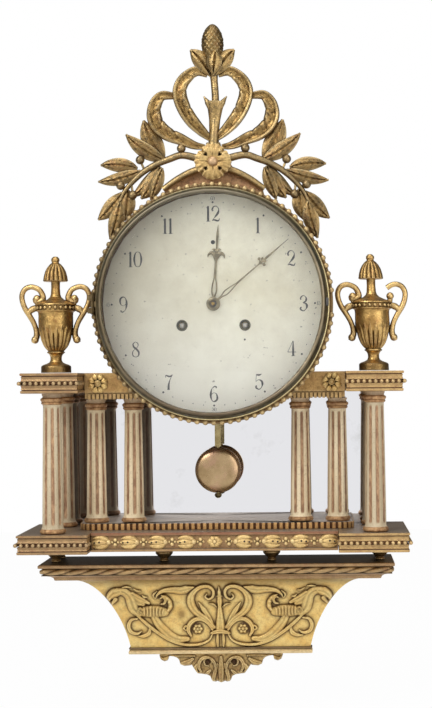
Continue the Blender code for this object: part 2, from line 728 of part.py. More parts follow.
for across, rise in ((-0.49, 0.364), (0.49, 0.364), (0.0, -0.443)):
    x, z = across * dial_radius, dial_z + rise * dial_radius
    dial_feet.append(rod(x, z, DIAL_FOOT_RADIUS, dial_rear - 0.0005, FRONT_PLATE - SEAT, 8))
part("dial_plate", combine(dial, dial_feet), SILVER)

# Bezel, glass and hinge
lip = bezel_front + 0.0055
rebate = glass_radius + TURN
bezel_profile = [(bezel_outer, bezel_rear), (bezel_outer, bezel_rear - 0.003)]
bezel_profile += [(bezel_outer - 0.002, bezel_rear - 0.009), (bezel_outer - 0.0045, bezel_front + 0.002)]
bezel_profile += [(bezel_opening + 0.0027, bezel_front), (bezel_opening, bezel_front + 0.002)]
bezel_profile += [(bezel_opening, lip), (rebate, lip), (rebate, bezel_rear - 0.006)]
bezel_profile.append((bead_inner + 0.001, bezel_rear))
ring = moved(lathe(bezel_profile, RING_STEPS, True), 0, 0, dial_z)
hinge_at = (hinge_x, hinge_y, dial_z)
knuckle = post(hinge_x, hinge_y, HINGE_RADIUS, dial_z - HINGE_KNUCKLE_HALF, dial_z + HINGE_KNUCKLE_HALF)
tab = box(hinge_x, 0.0015 - bezel_outer, hinge_y - 0.0012, hinge_y + 0.0012, dial_z - 0.003, dial_z + 0.003)
bore = post(hinge_x, hinge_y, HINGE_PIN + TURN, dial_z - HINGE_HALF, dial_z + HINGE_HALF)
part("bezel_ring", combine(ring, [tab, knuckle], [bore]), BRASS, hinge_at)
glass_edge = lip + SEAT
dome = []
for i in range(2):
    share = i / 2
    radius = (bezel_opening - 0.0007) * (1 - share)
    dome.append((radius, glass_edge - GLASS_RISE * (1 - (1 - share) ** 2)))
glass_profile = [(0, glass_edge - GLASS_RISE + GLASS_THICK)]
glass_profile += [(radius, y + GLASS_THICK) for radius, y in reversed(dome[1:])]
glass_profile += [(glass_radius, glass_edge + GLASS_THICK), (glass_radius, glass_edge)]
glass_profile += dome + [(0, glass_edge - GLASS_RISE)]
part("bezel_glass", moved(lathe(glass_profile, RING_STEPS, True), 0, 0, dial_z), GLASS, hinge_at)
leaves = []
for side in (-1, 1):
    near = dial_z + side * (HINGE_KNUCKLE_HALF + TURN)
    far = dial_z + side * HINGE_HALF
    low, high = min(near, far), max(near, far)
    leaves.append(post(hinge_x, hinge_y, HINGE_RADIUS, low, high))
    left, right = hinge_x - 0.0055, hinge_x + 0.001
    leaves.append(box(left, right, hinge_y, bead_front - SEAT, low + 0.0005, high - 0.0005))
pin = post(hinge_x, hinge_y, HINGE_PIN, dial_z - HINGE_HALF - 0.001, dial_z + HINGE_HALF + 0.001)
part("bezel_hinge", combine(pin, leaves), BRASS)


# Movement
def gear(teeth, module, x, z, y_front, y_rear, toward, gap_first=False, bore=0.0):
    """A toothed disc whose tooth, or gap, faces the angle given, in degrees from +X towards +Z."""
    pitch = teeth * module / 2
    start = math.radians(toward) + (math.pi / teeth if gap_first else 0.0)
    edge = []
    for i in range(teeth):
        angle = start + 2 * math.pi * i / teeth
        for turn, radius in ((0.0, pitch + 0.8 * module), (0.5, pitch - 1.2 * module)):
            place = angle + 2 * math.pi * turn / teeth
            edge.append((x + radius * math.cos(place), z + radius * math.sin(place)))
    outlines = [edge]
    if bore:
        outlines.append(circle(bore, 12, x, z))
    return plate(outlines, y_front, y_rear)


def facing(a, b):
    return math.degrees(math.atan2(b[1] - a[1], b[0] - a[0]))


centre_at = (0.0, 0.0)
going_reach = math.hypot(*GOING_AT)
great_module = 2 * going_reach / (GREAT_TEETH + CENTRE_LEAVES)
third_reach = CENTRE_MODULE * (CENTRE_TEETH + THIRD_LEAVES) / 2
escape_reach = THIRD_MODULE * (THIRD_TEETH + ESCAPE_LEAVES) / 2
third_z = (third_reach ** 2 - escape_reach ** 2 + ESCAPE_RISE ** 2) / (2 * ESCAPE_RISE)
third_at = (-math.sqrt(third_reach ** 2 - third_z ** 2), third_z)
escape_at = (0.0, ESCAPE_RISE)
motion_at = (0.0, -MOTION_DROP)
cannon_module = 2 * MOTION_DROP / (CANNON_TEETH + MINUTE_TEETH)
hour_module = 2 * MOTION_DROP / (MINUTE_LEAVES + HOUR_TEETH)
great_level = (BACK_PLATE - 0.0072, BACK_PLATE - 0.0042)
escape_level = (BACK_PLATE - 0.0065, BACK_PLATE - 0.005)
third_level = (BACK_PLATE - 0.0125, BACK_PLATE - 0.011)
centre_level = (plates_front + 0.0025, plates_front + 0.004)
cannon_level = (FRONT_PLATE - 0.0036, FRONT_PLATE - 0.002)
hour_level = (FRONT_PLATE - 0.0066, FRONT_PLATE - 0.0052)


def wheel(teeth, module, at, level, toward, gap_first=False, bore=0.0):
    return gear(teeth, module, at[0], dial_z + at[1], level[0], level[1], toward, gap_first, bore)


def wider(level, more=0.0008):
    return level[0] - more, level[1] + more


def arbor(at, radius, y_front, y_rear):
    return rod(at[0], dial_z + at[1], radius, y_front, y_rear, 8)


def place(at):
    return at[0], 0.0, dial_z + at[1]


outline = [(-PLATE_HALF, dial_z + PLATE_FOOT), (PLATE_HALF, dial_z + PLATE_FOOT)]
outline += [(PLATE_HALF, dial_z + PLATE_TOP), (-PLATE_HALF, dial_z + PLATE_TOP)]
holes = [circle(CENTRE_ARBOR + 0.0011, 12, 0, dial_z)]
for x, z in (GOING_AT, STRIKE_AT):
    holes.append(circle(ARBOR_RADIUS + TURN, 12, x, dial_z + z))
front_plate = plate([outline] + holes, FRONT_PLATE, FRONT_PLATE + PLATE_THICK)
stud = arbor(motion_at, MOTION_STUD, FRONT_PLATE - 0.0074, FRONT_PLATE + 0.0005)
part("movement_front_plate", combine(front_plate, [stud]), BRASS)
holes = [circle(0.002, 12, 0, suspension_z)]
back_plate = plate([outline] + holes, BACK_PLATE, BACK_PLATE + PLATE_THICK)
pillars = []
for side in (-1, 1):
    for z in (PLATE_TOP - 0.008, PLATE_FOOT + 0.007):
        x = side * (PLATE_HALF - 0.007)
        pillars.append(rod(x, dial_z + z, PILLAR_RADIUS, plates_front, BACK_PLATE + 0.0005, 8))
cock_y = PENDULUM_Y + 0.0055
cock_top = suspension_z + 0.006
pillars.append(box(-0.006, 0.006, BACK_PLATE + 0.001, cock_y, cock_top, cock_top + 0.003))
pillars.append(box(-0.006, 0.006, cock_y - 0.002, cock_y, suspension_z - 0.004, cock_top + 0.0015))
pillars.append(rod(0, suspension_z, SUSPENSION_PIN, PENDULUM_Y - 0.0016, cock_y - 0.0005, 10))
part("movement_back_plate", combine(back_plate, pillars), BRASS)

centre = arbor(centre_at, CENTRE_ARBOR, DIAL_FRONT - 0.0088, plates_rear)
centre_wheel = wheel(CENTRE_TEETH, CENTRE_MODULE, centre_at, centre_level, facing(centre_at, third_at))
to_going = facing(centre_at, GOING_AT)
centre_pinion = wheel(CENTRE_LEAVES, great_module, centre_at, wider(great_level), to_going, True)
part("centre_wheel", combine(centre, [centre_wheel, centre_pinion]), BRASS, place(centre_at))
cannon = wheel(CANNON_TEETH, cannon_module, centre_at, wider(cannon_level), facing(centre_at, motion_at))
pipe = arbor(centre_at, CANNON_PIPE, DIAL_FRONT - 0.0062, cannon_level[0])
cannon_bore = arbor(centre_at, CENTRE_ARBOR + TURN, DIAL_FRONT - 0.02, BACK_PLATE)
part("cannon_pinion", combine(cannon, [pipe], [cannon_bore]), STEEL, place(centre_at))
to_centre = facing(motion_at, centre_at)
minute_wheel = wheel(MINUTE_TEETH, cannon_module, motion_at, cannon_level, to_centre, True)
minute_pinion = wheel(MINUTE_LEAVES, hour_module, motion_at, (hour_level[0], cannon_level[0] + 0.0003), 90.0)
stud_bore = arbor(motion_at, MOTION_STUD + TURN, DIAL_FRONT, BACK_PLATE)
part("minute_wheel", combine(minute_wheel, [minute_pinion], [stud_bore]), BRASS, place(motion_at))
hour_wheel = wheel(HOUR_TEETH, hour_module, centre_at, hour_level, facing(centre_at, motion_at), True)
hour_pipe = arbor(centre_at, HOUR_PIPE, DIAL_FRONT - 0.0028, hour_level[0] + 0.0005)
hour_bore = arbor(centre_at, CANNON_PIPE + TURN, DIAL_FRONT - 0.02, BACK_PLATE)
part("hour_wheel", combine(hour_wheel, [hour_pipe], [hour_bore]), BRASS, place(centre_at))
third = arbor(third_at, 0.0015, plates_front, plates_rear)
to_centre = facing(third_at, centre_at)
third_pinion = wheel(THIRD_LEAVES, CENTRE_MODULE, third_at, wider(centre_level), to_centre, True)
third_wheel = wheel(THIRD_TEETH, THIRD_MODULE, third_at, third_level, facing(third_at, escape_at))
part("third_wheel", combine(third, [third_pinion, third_wheel]), BRASS, place(third_at))
escape = arbor(escape_at, 0.001, plates_front, plates_rear)
to_third = facing(escape_at, third_at)
escape_pinion = wheel(ESCAPE_LEAVES, THIRD_MODULE, escape_at, wider(third_level), to_third, True)
escape_edge = []
for i in range(ESCAPE_TEETH):
    for turn, radius in ((0.0, ESCAPE_RADIUS), (0.3, ESCAPE_RADIUS - 0.0032)):
        angle = 2 * math.pi * (i + turn) / ESCAPE_TEETH
        escape_edge.append((radius * math.cos(angle), dial_z + ESCAPE_RISE + radius * math.sin(angle)))
escape_disc = plate([escape_edge], *escape_level)
part("escape_wheel", combine(escape, [escape_pinion, escape_disc]), BRASS, place(escape_at))
barrel_front = BACK_PLATE - 0.0265
barrel = rod(GOING_AT[0], dial_z + GOING_AT[1], BARREL_RADIUS, barrel_front, great_level[0] + 0.0005, 18)
great = wheel(GREAT_TEETH, great_module, GOING_AT, great_level, facing(GOING_AT, centre_at))
barrel_bore = arbor(GOING_AT, ARBOR_RADIUS + TURN, barrel_front - 0.01, BACK_PLATE)
part("going_barrel", combine(barrel, [great], [barrel_bore]), BRASS, place(GOING_AT))
square_rear = DIAL_FRONT + 0.006
square_front = DIAL_FRONT - 0.0022
for name, at in (("going_arbor", GOING_AT), ("strike_arbor", STRIKE_AT)):
    turned = arbor(at, ARBOR_RADIUS, square_rear - 0.0005, plates_rear)
    x, z = at[0], dial_z + at[1]
    half = SQUARE_HALF
    pieces = [box(x - half, x + half, square_front, square_rear, z - half, z + half)]
    if at == STRIKE_AT:
        pieces.append(rod(x, z, BARREL_RADIUS, barrel_front, great_level[1], 18))
    part(name, combine(turned, pieces), STEEL, place(at))

# Pallets and crutch, on the axis that the pendulum swings about
pallet_at = (0.0, SUSPENSION_RISE)
staff = arbor(pallet_at, SUSPENSION_PIN, plates_front + 0.01, BACK_PLATE + PLATE_THICK + 0.003)
span = [(-0.002, SUSPENSION_RISE + 0.003), (-0.0165, ESCAPE_RISE + 0.011), (-0.0150, ESCAPE_RISE + 0.0075)]
span += [(-0.0105, ESCAPE_RISE + 0.0135), (0.0, SUSPENSION_RISE - 0.003)]
span = span + [(-x, z) for x, z in reversed(span[:-1])]
pallets = plate([[(x, dial_z + z) for x, z in span]], *escape_level)
crutch_rear = PENDULUM_Y - ROD_THICK / 2 - 0.0014
crutch_front = BACK_PLATE + PLATE_THICK + 0.0014
crutch_foot = suspension_z - CRUTCH_LENGTH
crutch = box(-0.0022, 0.0022, crutch_front, crutch_rear, crutch_foot, suspension_z + 0.0024)
fork_near = ROD_HALF + TURN
fork_far = fork_near + FORK_WALL
fork_head = crutch_foot + 0.004
fork = [box(-fork_far, fork_far, crutch_front, crutch_rear, crutch_foot, fork_head)]
for left, right in ((-fork_far, -fork_near), (fork_near, fork_far)):
    fork.append(box(left, right, crutch_front, PENDULUM_Y + 0.0016, crutch_foot, fork_head))
part("pallet_anchor", combine(staff, [pallets, crutch] + fork), STEEL, (0, 0, suspension_z))

# Hands


def hand(sides, length, hub, bore, angle, y_rear):
    y_front = y_rear - HAND_THICK
    scale = length / (sides[-1][1] * 1.12)
    right = [(half * 0.001, dial_z + reach * scale) for half, reach in sides]
    edge = right + [(0.0, dial_z + length)] + [(-x, z) for x, z in reversed(right)]
    blade = plate([edge], y_front, y_rear)
    boss = rod(0.0, dial_z, hub, y_front, y_rear, 16)
    hole = rod(0.0, dial_z, bore, y_front - 0.01, y_rear + 0.01, 12)
    return turned_in_plane(combine(blade, [boss], [hole]), angle, 0.0, dial_z)


hour_rear = DIAL_FRONT - 0.0014
minute_rear = DIAL_FRONT - 0.0048
hour = hand(HOUR_HAND, HOUR_LENGTH, 0.0095, HOUR_PIPE + SEAT, HOUR_ANGLE, hour_rear)
part("hour_hand", hour, BRASS, place(centre_at))
minute = hand(MINUTE_HAND, MINUTE_LENGTH, 0.0079, CANNON_PIPE + SEAT, MINUTE_ANGLE, minute_rear)
part("minute_hand", minute, BRASS, place(centre_at))

# Pendulum
bob_top = bob_z + BOB_RADIUS
thread = 0.0018
rod_front, rod_rear = PENDULUM_Y - ROD_THICK / 2, PENDULUM_Y + ROD_THICK / 2
eye = rod(0, suspension_z, 0.0042, rod_front, rod_rear, 14)
strip = box(-ROD_HALF, ROD_HALF, rod_front, rod_rear, bob_top + 0.001, suspension_z)
screw = post(0, PENDULUM_Y, thread, bob_z - BOB_RADIUS - NUT_HEIGHT - 0.001, bob_top + 0.002, 10)
eye_bore = rod(0, suspension_z, SUSPENSION_PIN + TURN, PENDULUM_Y - 0.01, PENDULUM_Y + 0.01, 12)
part("pendulum_rod", combine(strip, [eye, screw], [eye_bore]), BRASS, (0, PENDULUM_Y, suspension_z))
bob_profile = []
for radius, deep in ((0, 1), (0.6, 0.75), (0.93, 0.3), (1, 0), (0.93, -0.3), (0.6, -0.75), (0, -1)):
    bob_profile.append((radius * BOB_RADIUS, PENDULUM_Y + deep * BOB_HALF))
bob = moved(lathe(bob_profile, 18, True), 0, 0, bob_z)
bob_bore = post(0, PENDULUM_Y, thread + SEAT, bob_z - 1.5 * BOB_RADIUS, bob_z + 1.5 * BOB_RADIUS, 12)
part("pendulum_bob", combine(bob, (), [bob_bore]), BRASS, (0, PENDULUM_Y, suspension_z))
nut_top = bob_z - BOB_RADIUS - SEAT
nut_foot = nut_top - NUT_HEIGHT
nut_profile = [(thread + TURN, nut_top), (NUT_RADIUS * 0.8, nut_top), (NUT_RADIUS, nut_top - 0.001)]
nut_profile += [(NUT_RADIUS, nut_foot + 0.002), (thread + 0.001, nut_foot), (thread + TURN, nut_foot)]
part("rating_nut", moved(lathe(nut_profile, 10), 0, PENDULUM_Y), BRASS, (0, PENDULUM_Y, nut_top))

# Crest
crest_y = (CREST_FRONT + CREST_REAR) / 2


def crest(point):
    """A crest point, given in millimetres up from the bracket's origin, on the scale of the crest."""
    return point[0] * crest_scale, crest_y, dial_z + (point[1] - 348.5) * crest_scale


def strand(points, widths, flatten=0.75, sides=0):
    radii = [width * crest_scale for width in widths]
    return tube([crest(point) for point in points], radii, flatten, sides)


loops = [strand(HEART, HEART_WIDTHS, sides=1), strand(SIDE, SIDE_WIDTHS, sides=1)]
loops.append(strand(((6, 508), (30, 498), (57.8, 483.5)), (4.4, 4, 3)))
loops += [mirrored(mesh) for mesh in loops]
loops.append(strand(((0, 520), (0, 560), (0, 588), (0, 622)), (5, 5, 3.6, 3.8)))
arrow = [(-13, 589.5), (-5, 584), (5, 584), (13, 589.5), (6, 560), (0, 552), (-6, 560)]
loops.append(plate([[crest(point)[::2] for point in arrow]], crest_y - 0.003, crest_y + 0.003))
finial = lathe([(radius * crest_scale, crest((0, height))[2]) for radius, height in CONE], 10)
loops.append(moved(finial, 0, crest_y))
for side in (-1, 1):
    base = crest((side * 4, 612))[::2]
    tip = crest((side * 25.5, 643.2))[::2]
    loops.append(leaf(base, tip, 0.0085, crest_y, 0.011))
hub = rod(0, flower_z, CREST_HUB, CREST_FRONT, CREST_REAR, 16)
part("crest_scrolls", combine(hub, loops), GILT)
flower_rear = CREST_FRONT - SEAT
edge = []
for i in range(24):
    angle = i * math.pi / 12
    radius = FLOWER_RADIUS * (0.82 + 0.18 * math.cos(6 * angle))
    edge.append((radius * math.sin(angle), flower_z + radius * math.cos(angle)))
petals = plate([edge], flower_rear - FLOWER_THICK * 0.55, flower_rear)
boss = ball(0, flower_rear - FLOWER_THICK * 0.6, flower_z, FLOWER_RADIUS * 0.3, 0.6)
part("crest_flower", combine(petals, [boss]), GILT)
saddle = []
for i in range(13):
    angle = math.radians(62 + 56 * i / 12)
    radius = DRUM_RADIUS + 2 * SEAT
    saddle.append((radius * math.cos(angle), dial_z + radius * math.sin(angle)))
for x, rise in ((-0.024, -0.0066), (-0.014, 0.012), (0.014, 0.012), (0.024, -0.0066)):
    saddle.append((x, flower_z + rise))
part("crest_base", plate([saddle], CREST_REAR + SEAT, CREST_REAR + 0.014), WOOD)
spray = []
for base, tip, lift in LAUREL:
    y = crest_y - lift * crest_scale
    spray.append(leaf(crest(base)[::2], crest(tip)[::2], 7.8 * crest_scale, y, 0.009))
for x, z, stalk_x, stalk_z in BERRIES:
    berry = ball(*crest((x, z)), 4.2 * crest_scale)
    stalk = moved(tube([crest((x, z)), crest((stalk_x, stalk_z))], (0.0022, 0.0024), 1.0, 0), 0, 0.0006)
    spray.append(combine(berry, [stalk]))
right_spray = combine(strand(BRANCH, BRANCH_WIDTHS, 0.9), spray)
part("laurel_left", mirrored(right_spray), GILT)
part("laurel_right", right_spray, GILT)
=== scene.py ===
import math

import bmesh
import bpy
import numpy as np
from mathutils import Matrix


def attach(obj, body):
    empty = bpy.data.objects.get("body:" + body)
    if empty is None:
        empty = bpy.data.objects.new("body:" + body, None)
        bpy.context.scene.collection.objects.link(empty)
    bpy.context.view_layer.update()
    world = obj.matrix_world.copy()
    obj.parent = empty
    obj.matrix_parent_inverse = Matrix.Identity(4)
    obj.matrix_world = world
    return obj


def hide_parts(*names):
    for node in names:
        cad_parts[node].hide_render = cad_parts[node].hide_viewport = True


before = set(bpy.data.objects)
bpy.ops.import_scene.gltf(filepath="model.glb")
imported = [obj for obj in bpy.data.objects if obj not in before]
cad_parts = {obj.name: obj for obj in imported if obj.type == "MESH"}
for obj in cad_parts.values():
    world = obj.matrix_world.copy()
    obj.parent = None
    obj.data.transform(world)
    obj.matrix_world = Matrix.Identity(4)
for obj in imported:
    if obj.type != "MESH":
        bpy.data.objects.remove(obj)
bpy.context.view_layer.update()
scene = bpy.context.scene
print("frame loaded:", len(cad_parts), "nodes")

# All sizes below are millimetres in the frame's axes: X right, Y into the wall, Z up.
heights = {
    "shelfTop": 49.0, "baseFoot": 66.6, "baseTop": 88.3, "stepTop": 95.7, "dentilFoot": 240.0,
    "beamFoot": 247.6, "beamTop": 270.5, "dial": 348.5, "flower": 512.6,
}
dialZ = heights["dial"]
sideNames = {-1: "left", 1: "right"}


# Mesh tools

def grid(points, wrapRows=False, wrapColumns=False):
    # each cell of a table of points is one quad, and a wrapped side joins the last row or column to the
    # first
    rows, columns = points.shape[:2]
    index = np.arange(rows * columns).reshape(rows, columns)
    if wrapRows:
        index = np.vstack([index, index[:1]])
    if wrapColumns:
        index = np.hstack([index, index[:, :1]])
    quads = np.stack([index[:-1, :-1], index[1:, :-1], index[1:, 1:], index[:-1, 1:]], -1)
    return points.reshape(-1, 3), quads.reshape(-1, 4)


def places(x, y, z):
    # a table of points from numbers or arrays that fit together
    return np.stack(np.broadcast_arrays(x, y, z), -1)


def capped(rings):
    # closed rings joined one to the next, with the first and the last drawn in to their middle
    first, last = (np.broadcast_to(ring.mean(0), ring.shape)[None] for ring in (rings[0], rings[-1]))
    return grid(np.concatenate([first, rings, last]), wrapColumns=True)


def tinted(shell, tone):
    # a shell with one number per point, which its material reads as the attribute "tone"
    points, quads = shell[:2]
    return points, quads, np.broadcast_to(np.asarray(tone, float).reshape(-1), (len(points),))


def flipped(shell):
    # the same shell on the other side of the middle line
    mirror = np.array([-1.0, 1.0, 1.0])
    return (shell[0] * mirror,) + tuple(shell[1:])


def shifted(shell, x=0.0, y=0.0, z=0.0):
    return (shell[0] + np.array([x, y, z]),) + tuple(shell[1:])


def spunInPlane(shell, degrees, x=0.0, z=0.0):
    # turned clockwise for someone who faces the dial, about a point of the dial's plane
    turn = math.radians(degrees)
    place = shell[0] - np.array([x, 0.0, z])
    cosine, sine = math.cos(turn), math.sin(turn)
    turned = places(place[:, 0] * cosine + place[:, 2] * sine, place[:, 1],
                    place[:, 2] * cosine - place[:, 0] * sine)
    return (turned + np.array([x, 0.0, z]),) + tuple(shell[1:])


def evenly(points, count):
    # points evenly spaced along a line of straight pieces, and how far along it each one lies
    along = np.concatenate([[0], np.cumsum(np.linalg.norm(np.diff(points, axis=0), axis=1))])
    wanted = np.linspace(0, along[-1], count)
    return np.stack([np.interp(wanted, along, points[:, k]) for k in range(2)], -1), wanted


def leftOf(path):
    # unit normals on the left of a path
    step = np.gradient(path, axis=0)
    step /= np.linalg.norm(step, axis=1)[:, None] + 1e-12
    return np.stack([-step[:, 1], step[:, 0]], -1)


def curveThrough(points, count):
    # smooth curve through the points (Catmull-Rom), sampled evenly along its length
    knots = np.asarray(points, float)
    padded = np.vstack([2 * knots[0] - knots[1], knots, 2 * knots[-1] - knots[-2]])
    span = np.repeat(np.arange(len(knots) - 1), 24)
    t = np.tile(np.linspace(0, 1, 24, endpoint=False), len(knots) - 1)[:, None]
    a, b, c, d = (padded[span + k] for k in range(4))
    square, cube = 2 * a - 5 * b + 4 * c - d, 3 * b - a - 3 * c + d
    fine = 0.5 * (2 * b + (c - a) * t + square * t ** 2 + cube * t ** 3)
    return evenly(np.vstack([fine, knots[-1:]]), count)[0]


def spread(values, count):
    # a few values along a path, eased to one for each sample
    given = np.asarray(values, float)
    return np.interp(np.linspace(0, 1, count), np.linspace(0, 1, len(given)), given)


def carried(path, across, depth, y):
    # closed sections carried along a path in the dial's plane: each point is the path's point,
    # plus across along the path's left normal, plus depth towards the viewer; both ends close to a point
    flat = path[:, None, :] + leftOf(path)[:, None, :] * across[..., None]
    return capped(places(flat[..., 0], y - depth, flat[..., 1]))


def roundBar(points, widths, y, flatten=0.8, count=40, sides=10):
    # an oval bar along a smooth path: across is width times cosine, depth is width times sine, flattened
    path = curveThrough(points, count)
    half = spread(widths, count)[:, None]
    turn = np.linspace(0, 2 * math.pi, sides, endpoint=False)[None]
    return carried(path, half * np.cos(turn), half * np.sin(turn) * flatten, y)


def flatBar(points, widths, yFront, yRear, count=16, smooth=True):
    # a flat strip with square edges along a path
    path = curveThrough(points, count) if smooth else np.asarray(points, float)
    half = spread(widths, len(path))[:, None]
    ones = np.ones((len(path), 1))
    across = np.hstack([-half, half, half, -half])
    thick = yRear - yFront
    depth = np.hstack([ones * 0, ones * 0, ones * thick, ones * thick])
    return carried(path, across, depth, yRear)


def turnedForm(profile, steps, x=0.0, y=0.0, z=0.0, along="z", ripple=None):
    # a profile of radius and height spun about an axis, with a ripple added to its radius
    shape = np.asarray(profile, float)
    turn = np.linspace(0, 2 * math.pi, steps, endpoint=False)[None]
    height = shape[:, 1:]
    radius = shape[:, :1] + (ripple(turn, height) if ripple else 0)
    if along == "z":
        table = places(x + radius * np.cos(turn), y + radius * np.sin(turn), z + height)
    else:
        table = places(x + radius * np.sin(turn), y + height, z + radius * np.cos(turn))
    return grid(table, wrapColumns=True)


def beads(centres, radius, rows=5, sides=8):
    # one small ball for each place: rings of latitude, all placed at once
    centres = np.asarray(centres, float)
    rise = np.linspace(-math.pi / 2, math.pi / 2, rows + 1)[:, None]
    turn = np.linspace(0, 2 * math.pi, sides, endpoint=False)[None]
    ball = places(np.cos(rise) * np.cos(turn), np.cos(rise) * np.sin(turn), np.sin(rise))
    points, quads = grid(ball * radius, wrapColumns=True)
    every = (centres[:, None, :] + points[None]).reshape(-1, 3)
    shift = np.arange(len(centres))[:, None, None] * len(points)
    return every, (quads[None] + shift).reshape(-1, 4)


def rectangleStack(levels):
    # mouldings round a block: each level is a rectangle (left, right, front, rear, height), joined to the
    # next
    left, right, front, rear, z = np.asarray(levels, float).T
    corners = [(left, front), (right, front), (right, rear), (left, rear)]
    return capped(np.stack([places(x, y, z) for x, y in corners], 1))


def carvedLeaf(base, tip, half, y, thick=4.0, bend=0.0, blunt=0.8, vein=0.25, cup=0.0, rib=0.32, count=22):
    # a carved leaf from base to tip: its half width follows a sine of the length, its face is a low dome
    # with a groove on the midrib and slanting veins, and its back is a shallower dome
    base, tip = np.asarray(base, float), np.asarray(tip, float)
    u = np.linspace(0, 1, count)
    way = tip - base
    side = np.array([-way[1], way[0]]) / (np.hypot(*way) + 1e-9)
    path = base + way * u[:, None] + side * (bend * 4 * u * (1 - u))[:, None]
    width = half * np.sin(math.pi * np.clip(u, 0.02, 0.98) ** blunt) ** 0.75 + 0.25
    v = np.linspace(-1, 1, 11)
    dome = (1 - v ** 2)[None] * np.sin(math.pi * np.clip(u, 0.05, 0.97))[:, None] ** 0.5
    groove = -rib * np.exp(-(v / 0.13) ** 2)[None] * np.ones((count, 1))
    veins = vein * np.cos(2 * math.pi * (u[:, None] * 7 - np.abs(v)[None] * 2.2)) * (1 - v ** 2)[None] * 0.35
    front = thick * (0.75 * dome + groove * (u < 0.92)[:, None] + 0.22) + veins + cup * (u ** 2)[:, None]
    rear = -thick * 0.45 * (1 - v ** 2)[None] * np.ones((count, 1)) + cup * (u ** 2)[:, None]
    across = np.hstack([width[:, None] * v[None], width[:, None] * v[None, ::-1][:, 1:-1]])
    depth = np.hstack([front, rear[:, ::-1][:, 1:-1]])
    return carried(path, across, depth, y)


def acanthusStrap(points, widths, y, outer=1.0, notches=(0.34, 0.55, 0.76), thick=5.0, count=110):
    # a carved strap along a smooth path: a rounded rim on its outer edge, a hollow beside it, and a leafy
    # inner side that swells again and is cut by a few slanting notches
    path = curveThrough(points, count)
    half = spread(widths, count)[:, None]
    u = np.linspace(0, 1, count)[:, None]
    place = np.array([-1, -0.96, -0.86, -0.72, -0.56, -0.42, -0.26, -0.06, 0.16, 0.38, 0.58, 0.76, 0.9,
                      1])[None]
    relief = np.array([0.1, 0.6, 0.95, 1.06, 1.0, 0.8, 0.64, 0.6, 0.68, 0.8, 0.86, 0.78, 0.5, 0.1])[None]
    cut = sum(np.exp(-((u - at - 0.05 * place) / 0.013) ** 2) for at in notches)
    bite = sum(np.exp(-((u - at - 0.05) / 0.018) ** 2) for at in notches)
    inward = np.where(place > 0, place * (1 - 0.08 * bite), place)
    fold = 0.06 * np.cos(2 * math.pi * (u * 5 - place * 1.4)) * (place > -0.3)
    front = (relief + fold - 0.24 * cut * (place > -0.1)) * thick * np.clip(half / half.max(), 0.45, 1)
    back = -0.5 * thick * (1 - place ** 2)[:, ::-1][:, 1:-1] * np.ones_like(half)
    across = np.hstack([inward * half, (inward * half)[:, ::-1][:, 1:-1]]) * -outer
    return carried(path, across, np.hstack([front, back]), y)


def makePiece(name, shells, material, body="case", replaces=(), sharp=38.0, keepOpen=False):
    # joins shells into one mesh in metres, closes poles and seams, turns faces out, and rides on its body
    points, quads, tones, count = [], [], [], 0
    for shell in shells:
        points.append(shell[0])
        quads.append(shell[1] + count)
        tones.append(shell[2] if len(shell) > 2 else np.zeros(len(shell[0])))
        count += len(shell[0])
    mesh = bpy.data.meshes.new(name)
    mesh.from_pydata((np.concatenate(points) * 0.001).tolist(), [], np.concatenate(quads).tolist())
    tone = mesh.attributes.new("tone", "FLOAT", "POINT")
    tone.data.foreach_set("value", np.concatenate(tones).astype(np.float32))
    work = bmesh.new()
    work.from_mesh(mesh)
    bmesh.ops.remove_doubles(work, verts=work.verts, dist=2e-6)
    bmesh.ops.dissolve_degenerate(work, edges=work.edges, dist=1e-7)
    if not keepOpen:
        bmesh.ops.recalc_face_normals(work, faces=work.faces)
    work.to_mesh(mesh)
    work.free()
    mesh.polygons.foreach_set("use_smooth", np.ones(len(mesh.polygons), bool))
    mesh.set_sharp_from_angle(angle=math.radians(sharp))
    mesh.materials.append(bpy.data.materials[material])
    piece = bpy.data.objects.new(name, mesh)
    scene.collection.objects.link(piece)
    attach(piece, body)
    if replaces:
        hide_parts(*replaces)
    return piece


# Materials

def srgb(*values):
    # photograph's colour numbers as the linear ones that a shader takes
    share = np.asarray(values, float) / 255
    linear = np.where(share <= 0.04045, share / 12.92, ((share + 0.055) / 1.055) ** 2.4)
    return (*[float(v) for v in linear], 1.0)


def feed(tree, socket, value):
    if hasattr(value, "is_output"):
        tree.links.new(value, socket)
    else:
        socket.default_value = value


def addNode(tree, kind, feeds=(), **settings):
    # a new node with its settings; each feed is the key of an input, and a value or another node's output
    node = tree.nodes.new("ShaderNode" + kind)
    for key, value in settings.items():
        setattr(node, key, value)
    for key, value in feeds:
        feed(tree, node.inputs[key], value)
    return node


